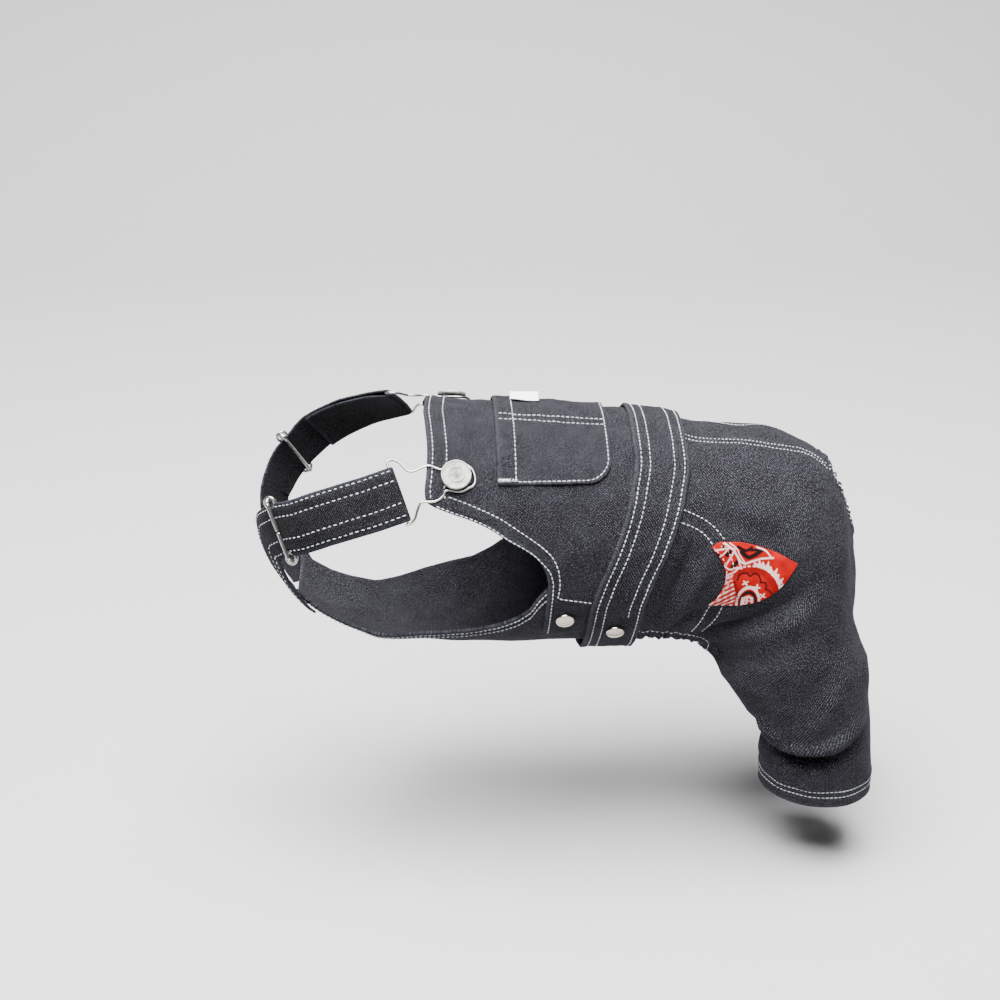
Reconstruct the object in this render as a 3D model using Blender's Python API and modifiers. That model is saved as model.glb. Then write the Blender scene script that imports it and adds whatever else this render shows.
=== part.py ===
"""Dog dungarees in the form they take on a dog's body, with straps, hooks, buttons and snaps.

The dog faces -X and stands along X, its left side is -Y, and +Z is up. The origin is on the spine,
under the waistband. Lengths are in metres, and tables hold shares of the named sizes.
"""

import math

import bmesh
import bpy
from mathutils import Vector
from mathutils.bvhtree import BVHTree

# Driving sizes
BACK_LENGTH = 0.125
BODY_HEIGHT = 0.127
BODY_WIDTH = 0.118
SEAT_LENGTH = 0.112
SEAT_DROP = 0.121
LEG_DROP = 0.205
LEG_WIDTH = 0.058
LEG_SPACING = 0.080
FAR_LEG_BACK = 0.016
FAR_LEG_FROM = 0.60
FAR_LEG_TO = 0.85
FAR_LEG_EASE = 1.5
CROTCH_EASE = 0.8
WAIST_BLEND = 1.7
CLOTH = 0.0016
LAYER_GAP = 0.0004
PIECE_GAP = 0.0003
BIB_TWIST = 10.0
FLAP_ARC = 123.0
BAND_WIDTH = 0.0275
BAND_LEAN = 0.027
BAND_TUCK = 0.008
POCKET_LENGTH = 0.059
POCKET_ARC = 42.0
POCKET_FROM_FRONT = 0.038
POCKET_CORNER = 0.012
POCKET_CORNER_ARC = 11.0
LABEL_LENGTH = 0.020
LABEL_WIDTH = 0.007
LABEL_INSET = 0.007
LABEL_ANGLE = -13.0
LABEL_THICKNESS = 0.0006
TAIL_HOLE_WIDTH = 0.030
STRAP_WIDTH = 0.0285
STRAP_CLOTH = 0.0012
STRAP_LAYER_GAP = 0.0008
STRAP_CURVE = 0.075
STRAP_RETURN = 0.052
STRAP_SETTLE = 0.013
SLIDER_WIRE = 0.0022
SLIDER_LENGTH = 0.0365
SLIDER_FROM_LOOP = 0.0700
HOOK_WIRE = 0.0013
HOOK_LENGTH = 0.045
HOOK_WIDTH = 0.028
BUTTON_DIAMETER = 0.0160
BUTTON_CAP = 0.0022
BUTTON_SHANK = 0.0040
BUTTON_ARC = 38.5
BUTTON_FROM_FRONT = 0.016
SNAP_DIAMETER = 0.0100
SNAP_HEIGHT = 0.0020
SNAP_FRONT_FROM_WAIST = 0.052
SNAP_FRONT_ANGLE = 117.5
SNAP_REAR_FROM_WAIST = 0.0247
SNAP_REAR_ANGLE = 125.0
PATCH_LENGTH = 0.045
PATCH_HEIGHT = 0.036
PATCH_CLOTH = 0.0010
PATCH_GAP = 0.0008
PATCH_HOLLOW = 0.008
PATCH_FROM_WAIST = 0.0245
PATCH_DROP = 0.0485

# Body sections under the cloth: station, centre height, half height, half width
BODY = (
    (-1.724, -0.339, 0.008, 0.008),
    (-1.716, -0.339, 0.094, 0.110),
    (-1.696, -0.339, 0.181, 0.203),
    (-1.656, -0.339, 0.276, 0.288),
    (-1.600, -0.346, 0.362, 0.356),
    (-1.520, -0.358, 0.441, 0.419),
    (-1.440, -0.378, 0.476, 0.458),
    (-1.320, -0.406, 0.512, 0.492),
    (-1.200, -0.433, 0.535, 0.513),
    (-1.000, -0.449, 0.530, 0.517),
    (-0.672, -0.469, 0.524, 0.521),
    (-0.320, -0.484, 0.512, 0.513),
    (0.000, -0.500, 0.500, 0.500),
    (0.240, -0.543, 0.488, 0.492),
    (0.480, -0.535, 0.480, 0.475),
    (0.800, -0.535, 0.472, 0.424),
)

# Turn of the worn cloth round the body: station, share of BIB_TWIST
TWIST = ((-1.0, 1.0), (-0.67, 0.9), (-0.32, 0.7), (0.0, 0.4), (0.5, 0.0))

# Front edge of the bib, down each armhole: angle, station
BIB_EDGE = (
    (0.0, -0.995),
    (12.0, -0.988),
    (25.0, -0.982),
    (38.0, -0.988),
    (46.0, -0.996),
    (50.0, -0.992),
    (51.8, -0.965),
    (54.5, -0.900),
    (57.4, -0.816),
    (61.2, -0.736),
    (67.0, -0.653),
    (72.4, -0.570),
    (77.0, -0.525),
    (83.0, -0.497),
    (89.0, -0.487),
    (98.0, -0.490),
    (110.0, -0.495),
    (123.0, -0.500),
)

# Forward lean of the waistband: angle from its top, share of BAND_LEAN
LEAN = (
    (0.0, 0.03),
    (32.0, 0.03),
    (47.0, 0.13),
    (61.0, 0.27),
    (77.0, 0.50),
    (94.0, 0.78),
    (107.0, 0.91),
    (133.0, 0.97),
    (180.0, 1.00),
)

# Seat sections, waist to crotch: back x, back z, front x, front z, half width, front end angle
SEAT = (
    (0.009, -0.002, -0.232, -1.050, 1.000, 136.0),
    (0.232, -0.055, -0.071, -1.050, 0.992, 137.0),
    (0.468, -0.074, 0.071, -1.050, 0.985, 140.0),
    (0.680, -0.116, 0.155, -1.050, 0.985, 145.0),
    (0.826, -0.203, 0.200, -1.050, 1.000, 151.0),
    (0.925, -0.339, 0.223, -1.050, 1.034, 158.0),
    (0.978, -0.508, 0.237, -1.050, 1.085, 165.0),
    (1.004, -0.702, 0.246, -1.058, 1.136, 172.0),
    (1.010, -0.893, 0.265, -1.058, 1.186, 180.0),
)

# Leg sections, thigh to hem: back x, back z, front x, front z, width, spacing
LEGS = (
    (1.033, -0.624, 0.335, -0.660, 1.172, 0.900),
    (1.054, -0.712, 0.393, -0.707, 1.138, 0.950),
    (1.071, -0.780, 0.482, -0.776, 1.069, 0.975),
    (1.080, -0.829, 0.571, -0.824, 1.000, 0.988),
    (1.089, -0.888, 0.558, -0.883, 1.000, 1.000),
    (1.098, -0.951, 0.567, -0.946, 1.000, 1.000),
    (1.098, -1.000, 0.571, -0.995, 1.000, 1.013),
)

# Rows of the trouser cloth, as places along SEAT and then LEGS
SEAT_ROWS = (0, 0.35, 0.7, 1.1, 1.6, 2.1, 2.7, 3.3, 3.8, 4.2, 4.45, 4.8, 5.15, 5.5, 5.85, 6.1, 6.6, 7.2, 7.7, 8)
LEG_ROWS = (8.3, 8.65, 9, 10, 11, 12, 13, 14, 15)
OUTER_COLUMNS = 14
INNER_COLUMNS = 6
TAIL_ROWS = (4.2, 6.1)
INNER_ARC = 80.0

# Belly panel, waist to chest: station, half angle round the belly
PANEL = (
    (-0.10, 76.0),
    (-0.32, 76.0),
    (-0.45, 78.0),
    (-0.488, 80.0),
    (-0.53, 74.0),
    (-0.56, 67.0),
    (-0.61, 61.0),
    (-0.69, 55.0),
    (-0.776, 50.0),
    (-0.88, 47.0),
    (-1.00, 43.0),
    (-1.12, 38.0),
    (-1.24, 34.0),
    (-1.34, 32.0),
    (-1.44, 31.0),
    (-1.52, 32.0),
    (-1.57, 33.0),
)

# Strap route, hook loop to chest: station, angle, share of BIB_TWIST
STRAP = (
    (-1.100, 47.5, 1.00),
    (-1.200, 52.8, 0.93),
    (-1.349, 62.0, 0.80),
    (-1.440, 68.5, 0.70),
    (-1.520, 76.0, 0.60),
    (-1.600, 83.5, 0.50),
    (-1.644, 93.0, 0.40),
    (-1.672, 105.0, 0.30),
    (-1.676, 117.0, 0.20),
    (-1.660, 132.0, 0.10),
    (-1.616, 150.0, 0.00),
    (-1.540, 162.4, 0.00),
)

# Hook wire round the button, from one end of its bar to the other: share of HOOK_LENGTH, share of HOOK_WIDTH
HOOK = (
    (-0.785, -0.195),
    (-0.730, -0.230),
    (-0.678, -0.220),
    (-0.620, -0.150),
    (-0.564, -0.054),
    (-0.509, -0.032),
    (-0.440, -0.075),
    (-0.380, -0.132),
    (-0.311, -0.171),
    (-0.244, -0.143),
    (-0.187, -0.110),
    (-0.130, -0.125),
    (-0.050, -0.195),
    (0.040, -0.235),
    (0.130, -0.220),
    (0.195, -0.120),
    (0.222, 0.050),
    (0.198, 0.165),
    (0.135, 0.225),
    (0.075, 0.280),
    (0.000, 0.290),
    (-0.070, 0.275),
    (-0.124, 0.300),
    (-0.149, 0.386),
    (-0.196, 0.457),
    (-0.253, 0.500),
    (-0.320, 0.512),
    (-0.389, 0.521),
    (-0.424, 0.579),
    (-0.449, 0.686),
    (-0.475, 0.820),
    (-0.525, 0.920),
    (-0.585, 0.950),
)

# Hip patch outline from front to back: place along, top, bottom, as shares of its length and height
PATCH = (
    (0.00, 0.07, 1.00),
    (0.10, 0.00, 1.02),
    (0.28, 0.00, 1.03),
    (0.48, 0.05, 0.96),
    (0.66, 0.13, 0.86),
    (0.83, 0.22, 0.68),
    (1.00, 0.33, 0.36),
)

# Turned outlines: share of the radius, share of the height
BUTTON_OUTLINE = (
    (0.00, 0.70),
    (0.16, 0.70),
    (0.22, 0.62),
    (0.42, 0.62),
    (0.50, 0.85),
    (0.60, 0.85),
    (0.68, 0.62),
    (0.90, 0.62),
    (1.00, 0.45),
    (1.00, 0.20),
    (0.90, 0.00),
)
SNAP_OUTLINE = (
    (0.00, 0.92),
    (0.45, 0.88),
    (0.78, 0.76),
    (0.84, 0.84),
    (0.95, 0.84),
    (1.00, 0.60),
    (1.00, 0.00),
)

# Colour, roughness, metallic
LOOKS = {
    "denim": ((0.028, 0.031, 0.042), 0.95, 0.0),
    "patch_print": ((0.42, 0.012, 0.015), 0.9, 0.0),
    "label_cloth": ((0.75, 0.75, 0.74), 0.85, 0.0),
    "wire": ((0.55, 0.55, 0.54), 0.35, 1.0),
    "button_metal": ((0.62, 0.61, 0.58), 0.4, 1.0),
    "snap_metal": ((0.66, 0.60, 0.50), 0.3, 1.0),
}


def curve_value(place, table, column):
    """Reads a column of a table between its rows, on a smooth curve that never overshoots."""
    places = [row[0] for row in table]
    values = [row[column] for row in table]
    if place <= places[0]:
        return values[0]
    if place >= places[-1]:
        return values[-1]
    spot = max(i for i in range(len(places) - 1) if places[i] <= place)
    rises = [(b - a) / (d - c) for a, b, c, d in zip(values, values[1:], places, places[1:])]

    def slope(i):
        before = rises[max(i - 1, 0)]
        after = rises[min(i, len(rises) - 1)]
        return 0.0 if before * after <= 0 else 2 * before * after / (before + after)

    step = places[spot + 1] - places[spot]
    t = (place - places[spot]) / step
    return (
        values[spot] * (2 * t**3 - 3 * t**2 + 1)
        + slope(spot) * step * (t**3 - 2 * t**2 + t)
        + values[spot + 1] * (3 * t**2 - 2 * t**3)
        + slope(spot + 1) * step * (t**3 - t**2)
    )


def body_point(x, angle):
    """A point of the body under the cloth, at x and an angle in degrees from the spine."""
    station = x / BACK_LENGTH
    centre = curve_value(station, BODY, 1) * BODY_HEIGHT
    half_height = curve_value(station, BODY, 2) * BODY_HEIGHT
    half_width = curve_value(station, BODY, 3) * BODY_WIDTH
    turn = math.radians(angle)
    return Vector((x, -half_width * math.sin(turn), centre + half_height * math.cos(turn)))


def body_frame(x, angle):
    """The point, the outward direction, and the directions along +X and round the body there."""
    small, turn = BACK_LENGTH / 500, 0.2
    along = (body_point(x + small, angle) - body_point(x - small, angle)).normalized()
    around = (body_point(x, angle + turn) - body_point(x, angle - turn)).normalized()
    return body_point(x, angle), around.cross(along).normalized(), along, around


def skin(x, angle, lift=0.0):
    """A point at a height over the body."""
    point, out, along, around = body_frame(x, angle)
    return point + out * lift


def twist(x):
    return BIB_TWIST * curve_value(x / BACK_LENGTH, TWIST, 1)


def band_middle(angle):
    """Where the waistband's middle runs, at an angle round the body."""
    return -BAND_LEAN * curve_value(abs((angle - twist(0) + 180) % 360 - 180), LEAN, 1)


def add_material(obj, look):
    colour, roughness, metallic = LOOKS[look]
    material = bpy.data.materials.new(obj.name)
    material.use_nodes = True
    shader = material.node_tree.nodes["Principled BSDF"]
    shader.inputs["Base Color"].default_value = (*colour, 1.0)
    shader.inputs["Roughness"].default_value = roughness
    shader.inputs["Metallic"].default_value = metallic
    obj.data.materials.append(material)


def new_object(name, data, look):
    obj = bpy.data.objects.new(name, data)
    parts.objects.link(obj)
    add_material(obj, look)
    return obj


def sheet(name, grids, thickness, look, ring=False):
    """A sheet of cloth from grids of points on its inner side; its thickness grows outward."""
    bm = bmesh.new()
    for grid in grids:
        rows = [[point and bm.verts.new(point) for point in row] for row in grid]
        for row, following in zip(rows, rows[1:]):
            count = len(row)
            for i in range(count if ring else count - 1):
                corners = (row[i], row[(i + 1) % count], following[(i + 1) % count], following[i])
                if all(corners):
                    bm.faces.new(corners)
    bmesh.ops.remove_doubles(bm, verts=bm.verts, dist=1e-6)
    bm.normal_update()
    middle = sum((vert.co for vert in bm.verts), Vector()) / len(bm.verts)
    middle.y, middle.z = 0.0, -BODY_HEIGHT / 2
    facing = sum(face.normal.dot(face.calc_center_median() - middle) * face.calc_area() for face in bm.faces)
    if facing < 0:
        bmesh.ops.reverse_faces(bm, faces=bm.faces)
    for face in bm.faces:
        face.smooth = True
    mesh = bpy.data.meshes.new(name)
    bm.to_mesh(mesh)
    bm.free()
    obj = new_object(name, mesh, look)
    solidify = obj.modifiers.new("Solidify", "SOLIDIFY")
    solidify.thickness = thickness
    solidify.offset = 1.0
    solidify.use_even_offset = True
    return obj


def turned(name, outline, frame, lift, look, sides):
    """A turned piece from an outline of radius and height, standing on the body's outward direction."""
    point, out, along, around = frame
    mesh = bpy.data.meshes.new(name)
    corners = [(radius, 0.0, height) for radius, height in outline]
    mesh.from_pydata(corners, [(i, i + 1) for i in range(len(corners) - 1)], [])
    obj = new_object(name, mesh, look)
    obj.location = point + out * lift
    obj.rotation_mode = "QUATERNION"
    obj.rotation_quaternion = out.to_track_quat("Z", "Y")
    screw = obj.modifiers.new("Screw", "SCREW")
    screw.steps = sides
    screw.render_steps = sides
    screw.use_merge_vertices = True
    screw.merge_threshold = 1e-5
    screw.use_smooth_shade = True
    return obj


def wire(name, points, thickness, look, closed):
    """A bent wire along a list of points."""
    curve = bpy.data.curves.new(name, "CURVE")
    curve.dimensions = "3D"
    curve.bevel_depth = thickness / 2
    curve.bevel_resolution = 2
    curve.use_fill_caps = not closed
    spline = curve.splines.new("POLY")
    spline.points.add(len(points) - 1)
    for point, spot in zip(spline.points, points):
        point.co = (*spot, 1.0)
    spline.use_cyclic_u = closed
    return new_object(name, curve, look)


def bib_edge(angle):
    """The bib's front edge, which runs down the armhole, at an angle from the bib's middle."""
    return curve_value(abs(angle), BIB_EDGE, 1) * BACK_LENGTH


def add_bib():
    angles = [row[0] for row in BIB_EDGE if row[0] <= FLAP_ARC]
    angles = [-angle for angle in reversed(angles[1:])] + angles
    grid = []
    for angle in angles:
        front = bib_edge(angle)
        row = []
        for i in range(8):
            x = front
            for _ in range(3):
                back = band_middle(angle + twist(x)) - BAND_WIDTH / 2 + BAND_TUCK
                x = front + (back - front) * i / 7
            row.append(skin(x, angle + twist(x)))
        grid.append(row)
    sheet("back_bib", [grid], CLOTH, "denim")


def add_pocket():
    front = -BACK_LENGTH + POCKET_FROM_FRONT
    grid = []
    for i in range(17):
        angle = POCKET_ARC * math.sin(math.pi / 2 * (i - 8) / 8)
        bend = max(0.0, (abs(angle) - POCKET_ARC + POCKET_CORNER_ARC) / POCKET_CORNER_ARC)
        back = front + POCKET_LENGTH - POCKET_CORNER * (1 - math.sqrt(max(0.0, 1 - bend**2)))
        places = [front + (back - front) * j / 5 for j in range(6)]
        grid.append([skin(x, angle + twist(x), CLOTH + LAYER_GAP) for x in places])
    sheet("bib_pocket", [grid], CLOTH, "denim")


def add_label():
    """A plain white label standing out from the pocket's far end."""
    front = -BACK_LENGTH + POCKET_FROM_FRONT + LABEL_INSET
    lift = 2 * (CLOTH + LAYER_GAP)
    arc = math.degrees(LABEL_WIDTH / (BODY_HEIGHT / 2))
    grid = []
    for i in range(4):
        angle = LABEL_ANGLE - arc * i / 3
        places = [front + LABEL_LENGTH * j / 3 for j in range(4)]
        grid.append([skin(x, angle + twist(x), lift) for x in places])
    sheet("pocket_label", [grid], LABEL_THICKNESS, "label_cloth")


def add_waistband():
    lift = CLOTH + LAYER_GAP
    grid = []
    for j in range(4):
        row = []
        for i in range(48):
            angle = i * 7.5
            x = band_middle(angle) + BAND_WIDTH * (j / 3 - 0.5)
            row.append(skin(x, angle, lift))
        grid.append(row)
    sheet("waistband", [grid], CLOTH, "denim", ring=True)


def seat_section(place):
    """Centre, half height, half width, front end angle and upward direction of a seat section."""
    rows = [(i, *row) for i, row in enumerate(SEAT)]
    back_x, back_z, front_x, front_z, width, end = (curve_value(place, rows, i) for i in range(1, 7))
    back = Vector((back_x * SEAT_LENGTH, 0, back_z * SEAT_DROP))
    front = Vector((front_x * SEAT_LENGTH, 0, front_z * SEAT_DROP))
    half = (back - front) / 2
    return (back + front) / 2, half.length, width * BODY_WIDTH / 2, end, half.normalized()


def leg_section(place):
    """Centre, half depth, half width, spacing and backward direction of a leg section."""
    rows = [(i + len(SEAT), *row) for i, row in enumerate(LEGS)]
    back_x, back_z, front_x, front_z, width, spread = (curve_value(place, rows, i) for i in range(1, 7))
    back = Vector((back_x * SEAT_LENGTH, 0, back_z * LEG_DROP))
    front = Vector((front_x * SEAT_LENGTH, 0, front_z * LEG_DROP))
    half = (back - front) / 2
    return (back + front) / 2, half.length, width * LEG_WIDTH / 2, spread * LEG_SPACING / 2, half.normalized()


def tail_gap(place):
    """Half the width of the tail opening at a seat section."""
    middle = sum(TAIL_ROWS) / 2
    reach = (place - middle) / (TAIL_ROWS[1] - middle)
    return TAIL_HOLE_WIDTH / 2 * math.sqrt(max(0.0, 1 - reach**2))


def seat_point(place, share, side):
    """A point of the seat, from the centre back seam (share 0) to the belly edge (share 1)."""
    centre, height, width, end, upward = seat_section(place)
    start = math.degrees(math.asin(min(1.0, tail_gap(place) / width)))
    angle = start + (end - start) * share
    turn = math.radians(angle)
    point = centre + upward * height * math.cos(turn)
    point.y = -side * width * math.sin(turn)
    near_waist = min(1.0, max(0.0, WAIST_BLEND - place))
    if near_waist > 0:
        top, low, flank = (body_point(point.x, turned_to) for turned_to in (0, 180, -90))
        rise = (2 * point.z - top.z - low.z) / (top.z - low.z)
        round_body = math.degrees(math.atan2(-point.y / flank.y, rise))
        point = point.lerp(body_point(point.x, round_body), near_waist**2 * (3 - 2 * near_waist))
    return point


def leg_point(place, turn_share, side):
    """A point of a leg; share 0 to 1 runs round the outside, 1 to 2 round the inside."""
    centre, depth, width, spread, backward = leg_section(max(place, len(SEAT)))
    outer = 360 - INNER_ARC
    start = -(180 - INNER_ARC) / 2
    angle = start + outer * turn_share if turn_share <= 1 else start + outer + INNER_ARC * (turn_share - 1)
    turn = math.radians(angle)
    point = centre + backward * depth * math.cos(turn)
    point.y = -side * (spread + width * math.sin(turn))
    if place < len(SEAT):
        crotch = len(SEAT) - 1
        blend = (place - crotch) ** CROTCH_EASE
        if turn_share <= 1:
            above = seat_point(crotch, turn_share, side)
        else:
            middle, height, _, _, upward = seat_section(crotch)
            above = middle + upward * height * (2 * (turn_share - 1) - 1)
        point = above.lerp(point, blend)
    if side < 0:
        drop = (-point.z / LEG_DROP - FAR_LEG_FROM) / (FAR_LEG_TO - FAR_LEG_FROM)
        point.x += FAR_LEG_BACK * min(1.0, max(0.0, drop)) ** FAR_LEG_EASE
    return point


def add_trousers():
    grids = []
    for side in (1, -1):
        grid = []
        for place in SEAT_ROWS[:-1]:
            row = [seat_point(place, i / OUTER_COLUMNS, side) for i in range(OUTER_COLUMNS + 1)]
            grid.append(row + [None] * INNER_COLUMNS)
        for place in SEAT_ROWS[-1:] + LEG_ROWS:
            row = [leg_point(place, i / OUTER_COLUMNS, side) for i in range(OUTER_COLUMNS + 1)]
            row += [leg_point(place, 1 + i / INNER_COLUMNS, side) for i in range(1, INNER_COLUMNS + 1)]
            grid.append(row)
        grids.append([list(reversed(row)) for row in grid] if side > 0 else grid)
    return sheet("trousers", grids, CLOTH, "denim")


def add_patches(trousers):
    """The printed patch sewn on each hip, laid on the trousers' outer side."""
    bpy.context.view_layer.update()
    tree = BVHTree.FromObject(trousers, bpy.context.evaluated_depsgraph_get())
    for side, name in ((1, "hip_patch_left"), (-1, "hip_patch_right")):
        grid = []
        for along, top, bottom in PATCH:
            row = []
            for j in range(6):
                hollow = PATCH_HOLLOW * (1 - (2 * j / 5 - 1) ** 2) * (1 - along)
                x = PATCH_FROM_WAIST + PATCH_LENGTH * along + hollow
                z = -PATCH_DROP - PATCH_HEIGHT * (top + (bottom - top) * j / 5)
                outside = Vector((x, -side * BODY_WIDTH, z))
                spot, normal, _, _ = tree.ray_cast(outside, Vector((0, side, 0)))
                row.append(spot + normal * PATCH_GAP)
            grid.append(row)
        sheet(name, [grid], PATCH_CLOTH, "patch_print")


def add_belly_panel():
    """The tongue from the waist, between the forelegs, to the chest."""
    grid = []
    for station, half in PANEL:
        angles = [180 + half * (i / 6 - 1) for i in range(13)]
        grid.append([skin(station * BACK_LENGTH, angle, -CLOTH - LAYER_GAP) for angle in angles])
    sheet("belly_panel", [grid], CLOTH, "denim")


def strap_route(side):
    """The strap's middle line from the hook's loop to the chest: distance, point, out, across."""
    count = 48
    rows = [(i, *row) for i, row in enumerate(STRAP)]
    spots = []
    for i in range(count + 1):
        place = i * (len(STRAP) - 1) / count
        station, angle, share = (curve_value(place, rows, column) for column in (1, 2, 3))
        spots.append(body_frame(station * BACK_LENGTH, side * angle + BIB_TWIST * share)[:2])
    route = []
    distance = 0.0
    for i, (point, out) in enumerate(spots):
        ahead = spots[min(i + 1, count)][0] - spots[max(i - 1, 0)][0]
        if i:
            distance += (point - spots[i - 1][0]).length
        across = ahead.cross(out).normalized() * side
        route.append((distance, point, out, across))
    return route


def route_at(route, distance):
    """The point and directions at a distance along the strap."""
    distance = min(max(distance, 0.0), route[-1][0] - 1e-6)
    spot = max(i for i in range(len(route) - 1) if route[i][0] <= distance)
    share = (distance - route[spot][0]) / (route[spot + 1][0] - route[spot][0])
    return [route[spot][i].lerp(route[spot + 1][i], share) for i in (1, 2, 3)]


def strap_sag(reach):
    """How far the strap's cloth curves down at a distance from its middle line."""
    return reach**2 / (2 * STRAP_CURVE)


def hook_lift():
    return CLOTH + PIECE_GAP + HOOK_WIRE / 2


def strap_bend():
    """The radius of the strap's loop round the hook's bar, at the middle of the cloth."""
    return HOOK_WIRE / 2 + PIECE_GAP + STRAP_CLOTH / 2


def bar_lift():
    return max(hook_lift(), STRAP_CLOTH / 2 + PIECE_GAP + strap_bend())


def strap_profile(length):
    """The strap's side outline from its return end, round the hook's bar, to the chest: distance, lift."""
    bend = strap_bend()
    low = STRAP_CLOTH / 2 + PIECE_GAP
    high = low + STRAP_CLOTH + STRAP_LAYER_GAP
    profile = [(STRAP_RETURN - (STRAP_RETURN - 3 * bend) * i / 6, low) for i in range(7)]
    for i in range(9):
        turn = math.pi * i / 8
        profile.append((bend - bend * math.sin(turn), bar_lift() - bend * math.cos(turn)))
    count = 20
    for i in range(1, count + 1):
        distance = bend + (length - bend) * i / count
        settle = min(1.0, max(0.0, distance - 2 * bend) / STRAP_SETTLE)
        lift = (bar_lift() + bend) * (1 - settle) + high * settle
        past = min(1.0, max(0.0, (distance - STRAP_RETURN) / (SLIDER_FROM_LOOP - STRAP_RETURN)))
        profile.append((distance, lift * (1 - past) + low * past))
    return profile


def add_strap(name, side):
    route = strap_route(side)
    rows = []
    for distance, lift in strap_profile(route[-1][0]):
        point, out, across = route_at(route, distance)
        if distance < 0:
            ahead = route[1][1] - route[0][1]
            point = point + ahead.normalized() * distance
        row = []
        for j in range(5):
            reach = STRAP_WIDTH * (j / 4 - 0.5)
            row.append(point + out * (lift - strap_sag(reach)) + across * reach)
        rows.append(row)
    obj = sheet(name, [rows], STRAP_CLOTH, "denim")
    obj.modifiers["Solidify"].offset = 0.0
    return route


def add_slider(name, route):
    """A wire slide whose front bar crosses the strap and whose back bar lies under it."""
    point, out, across = route_at(route, SLIDER_FROM_LOOP)
    low = STRAP_CLOTH / 2 + PIECE_GAP
    sag = strap_sag(STRAP_WIDTH / 2)
    reach = STRAP_CLOTH / 2 + PIECE_GAP + SLIDER_WIRE / 2 + sag / 2
    half = SLIDER_LENGTH / 2 - reach
    centre = point + out * (low - sag / 2)
    points = []
    for end in (1, -1):
        for i in range(9):
            turn = math.pi * (i / 8 - 0.5)
            points.append(centre + across * end * (half + reach * math.cos(turn)) + out * end * reach * math.sin(turn))
    wire(name, points, SLIDER_WIRE, "wire", True)


def button_place(side):
    x = -BACK_LENGTH + BUTTON_FROM_FRONT
    return x, side * BUTTON_ARC + twist(x)


def add_hook(name, side, route):
    """The wire hook, from its bar in the strap's loop round the button and back."""
    point, out, across = route_at(route, strap_bend())
    points = []
    for i in range(5):
        reach = (STRAP_WIDTH / 2 + HOOK_WIRE) * (i / 2 - 1)
        points.append(point + across * reach + out * (bar_lift() - strap_sag(reach)))
    x, angle = button_place(side)
    round_body = BODY_HEIGHT * curve_value(x / BACK_LENGTH, BODY, 2)
    for along, down in HOOK:
        turn = math.degrees(down * HOOK_WIDTH / round_body)
        points.append(skin(x + along * HOOK_LENGTH, angle + side * turn, hook_lift()))
    wire(name, points, HOOK_WIRE, "wire", True)


def add_button(name, side):
    outline = [(r * BUTTON_DIAMETER / 2, HOOK_WIRE + 2 * PIECE_GAP + h * BUTTON_CAP) for r, h in BUTTON_OUTLINE]
    outline += [(BUTTON_SHANK / 2, outline[-1][1]), (BUTTON_SHANK / 2, 0.0), (0.0, 0.0)]
    turned(name, outline, body_frame(*button_place(side)), CLOTH + PIECE_GAP, "button_metal", 20)


def add_snaps():
    outline = [(r * SNAP_DIAMETER / 2, h * SNAP_HEIGHT) for r, h in SNAP_OUTLINE] + [(0.0, 0.0)]
    on_bib = CLOTH + PIECE_GAP
    on_band = 2 * CLOTH + LAYER_GAP + PIECE_GAP
    front = body_frame(-SNAP_FRONT_FROM_WAIST, SNAP_FRONT_ANGLE)
    rear = body_frame(-SNAP_REAR_FROM_WAIST, SNAP_REAR_ANGLE)
    turned("snap_front", outline, front, on_bib, "snap_metal", 16)
    turned("snap_rear", outline, rear, on_band, "snap_metal", 16)


for old in list(bpy.data.objects):
    bpy.data.objects.remove(old, do_unlink=True)
parts = bpy.data.collections.new("dog_dungarees")
bpy.context.scene.collection.children.link(parts)

add_bib()
add_pocket()
add_label()
add_waistband()
add_patches(add_trousers())
add_belly_panel()
for strap_side, strap_end in ((1, "left"), (-1, "right")):
    strap_line = add_strap("strap_" + strap_end, strap_side)
    add_slider("slider_" + strap_end, strap_line)
    add_hook("hook_" + strap_end, strap_side, strap_line)
    add_button("button_" + strap_end, strap_side)
add_snaps()
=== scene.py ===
"""The dog dungarees with their cloth, stitching, print and wire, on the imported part.

Lengths are in metres. The dog faces -X, its left side is -Y, and +Z is up. x runs along the back from
the waist, and angles run round the body in degrees from the spine, positive down the left side.
"""

import math

import bpy
import numpy as np
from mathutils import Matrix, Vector
from mathutils.bvhtree import BVHTree


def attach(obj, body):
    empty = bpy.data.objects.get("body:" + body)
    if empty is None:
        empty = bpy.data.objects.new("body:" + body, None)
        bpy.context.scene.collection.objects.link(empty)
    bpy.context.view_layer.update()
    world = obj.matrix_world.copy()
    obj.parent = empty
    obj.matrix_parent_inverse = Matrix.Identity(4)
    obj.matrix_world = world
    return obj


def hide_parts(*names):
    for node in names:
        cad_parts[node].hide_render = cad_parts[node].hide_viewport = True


# The part's sizes
BACK_LENGTH = 0.125
BODY_HEIGHT = 0.127
BODY_WIDTH = 0.118
SEAT_LENGTH = 0.112
SEAT_DROP = 0.121
LEG_DROP = 0.205
LEG_WIDTH = 0.058
LEG_SPACING = 0.080
FAR_LEG_BACK = 0.016
CLOTH = 0.0016
LAYER_GAP = 0.0004
PIECE_GAP = 0.0003
BIB_TWIST = 10.0
FLAP_ARC = 123.0
BAND_WIDTH = 0.0275
BAND_LEAN = 0.027
BAND_TUCK = 0.008
POCKET_LENGTH = 0.059
POCKET_ARC = 42.0
POCKET_FROM_FRONT = 0.038
POCKET_CORNER = 0.012
POCKET_CORNER_ARC = 11.0
LABEL_LENGTH = 0.020
LABEL_THICKNESS = 0.0006
TAIL_HOLE_WIDTH = 0.030
STRAP_WIDTH = 0.0285
STRAP_CLOTH = 0.0012
STRAP_LAYER_GAP = 0.0008
STRAP_CURVE = 0.075
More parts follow.
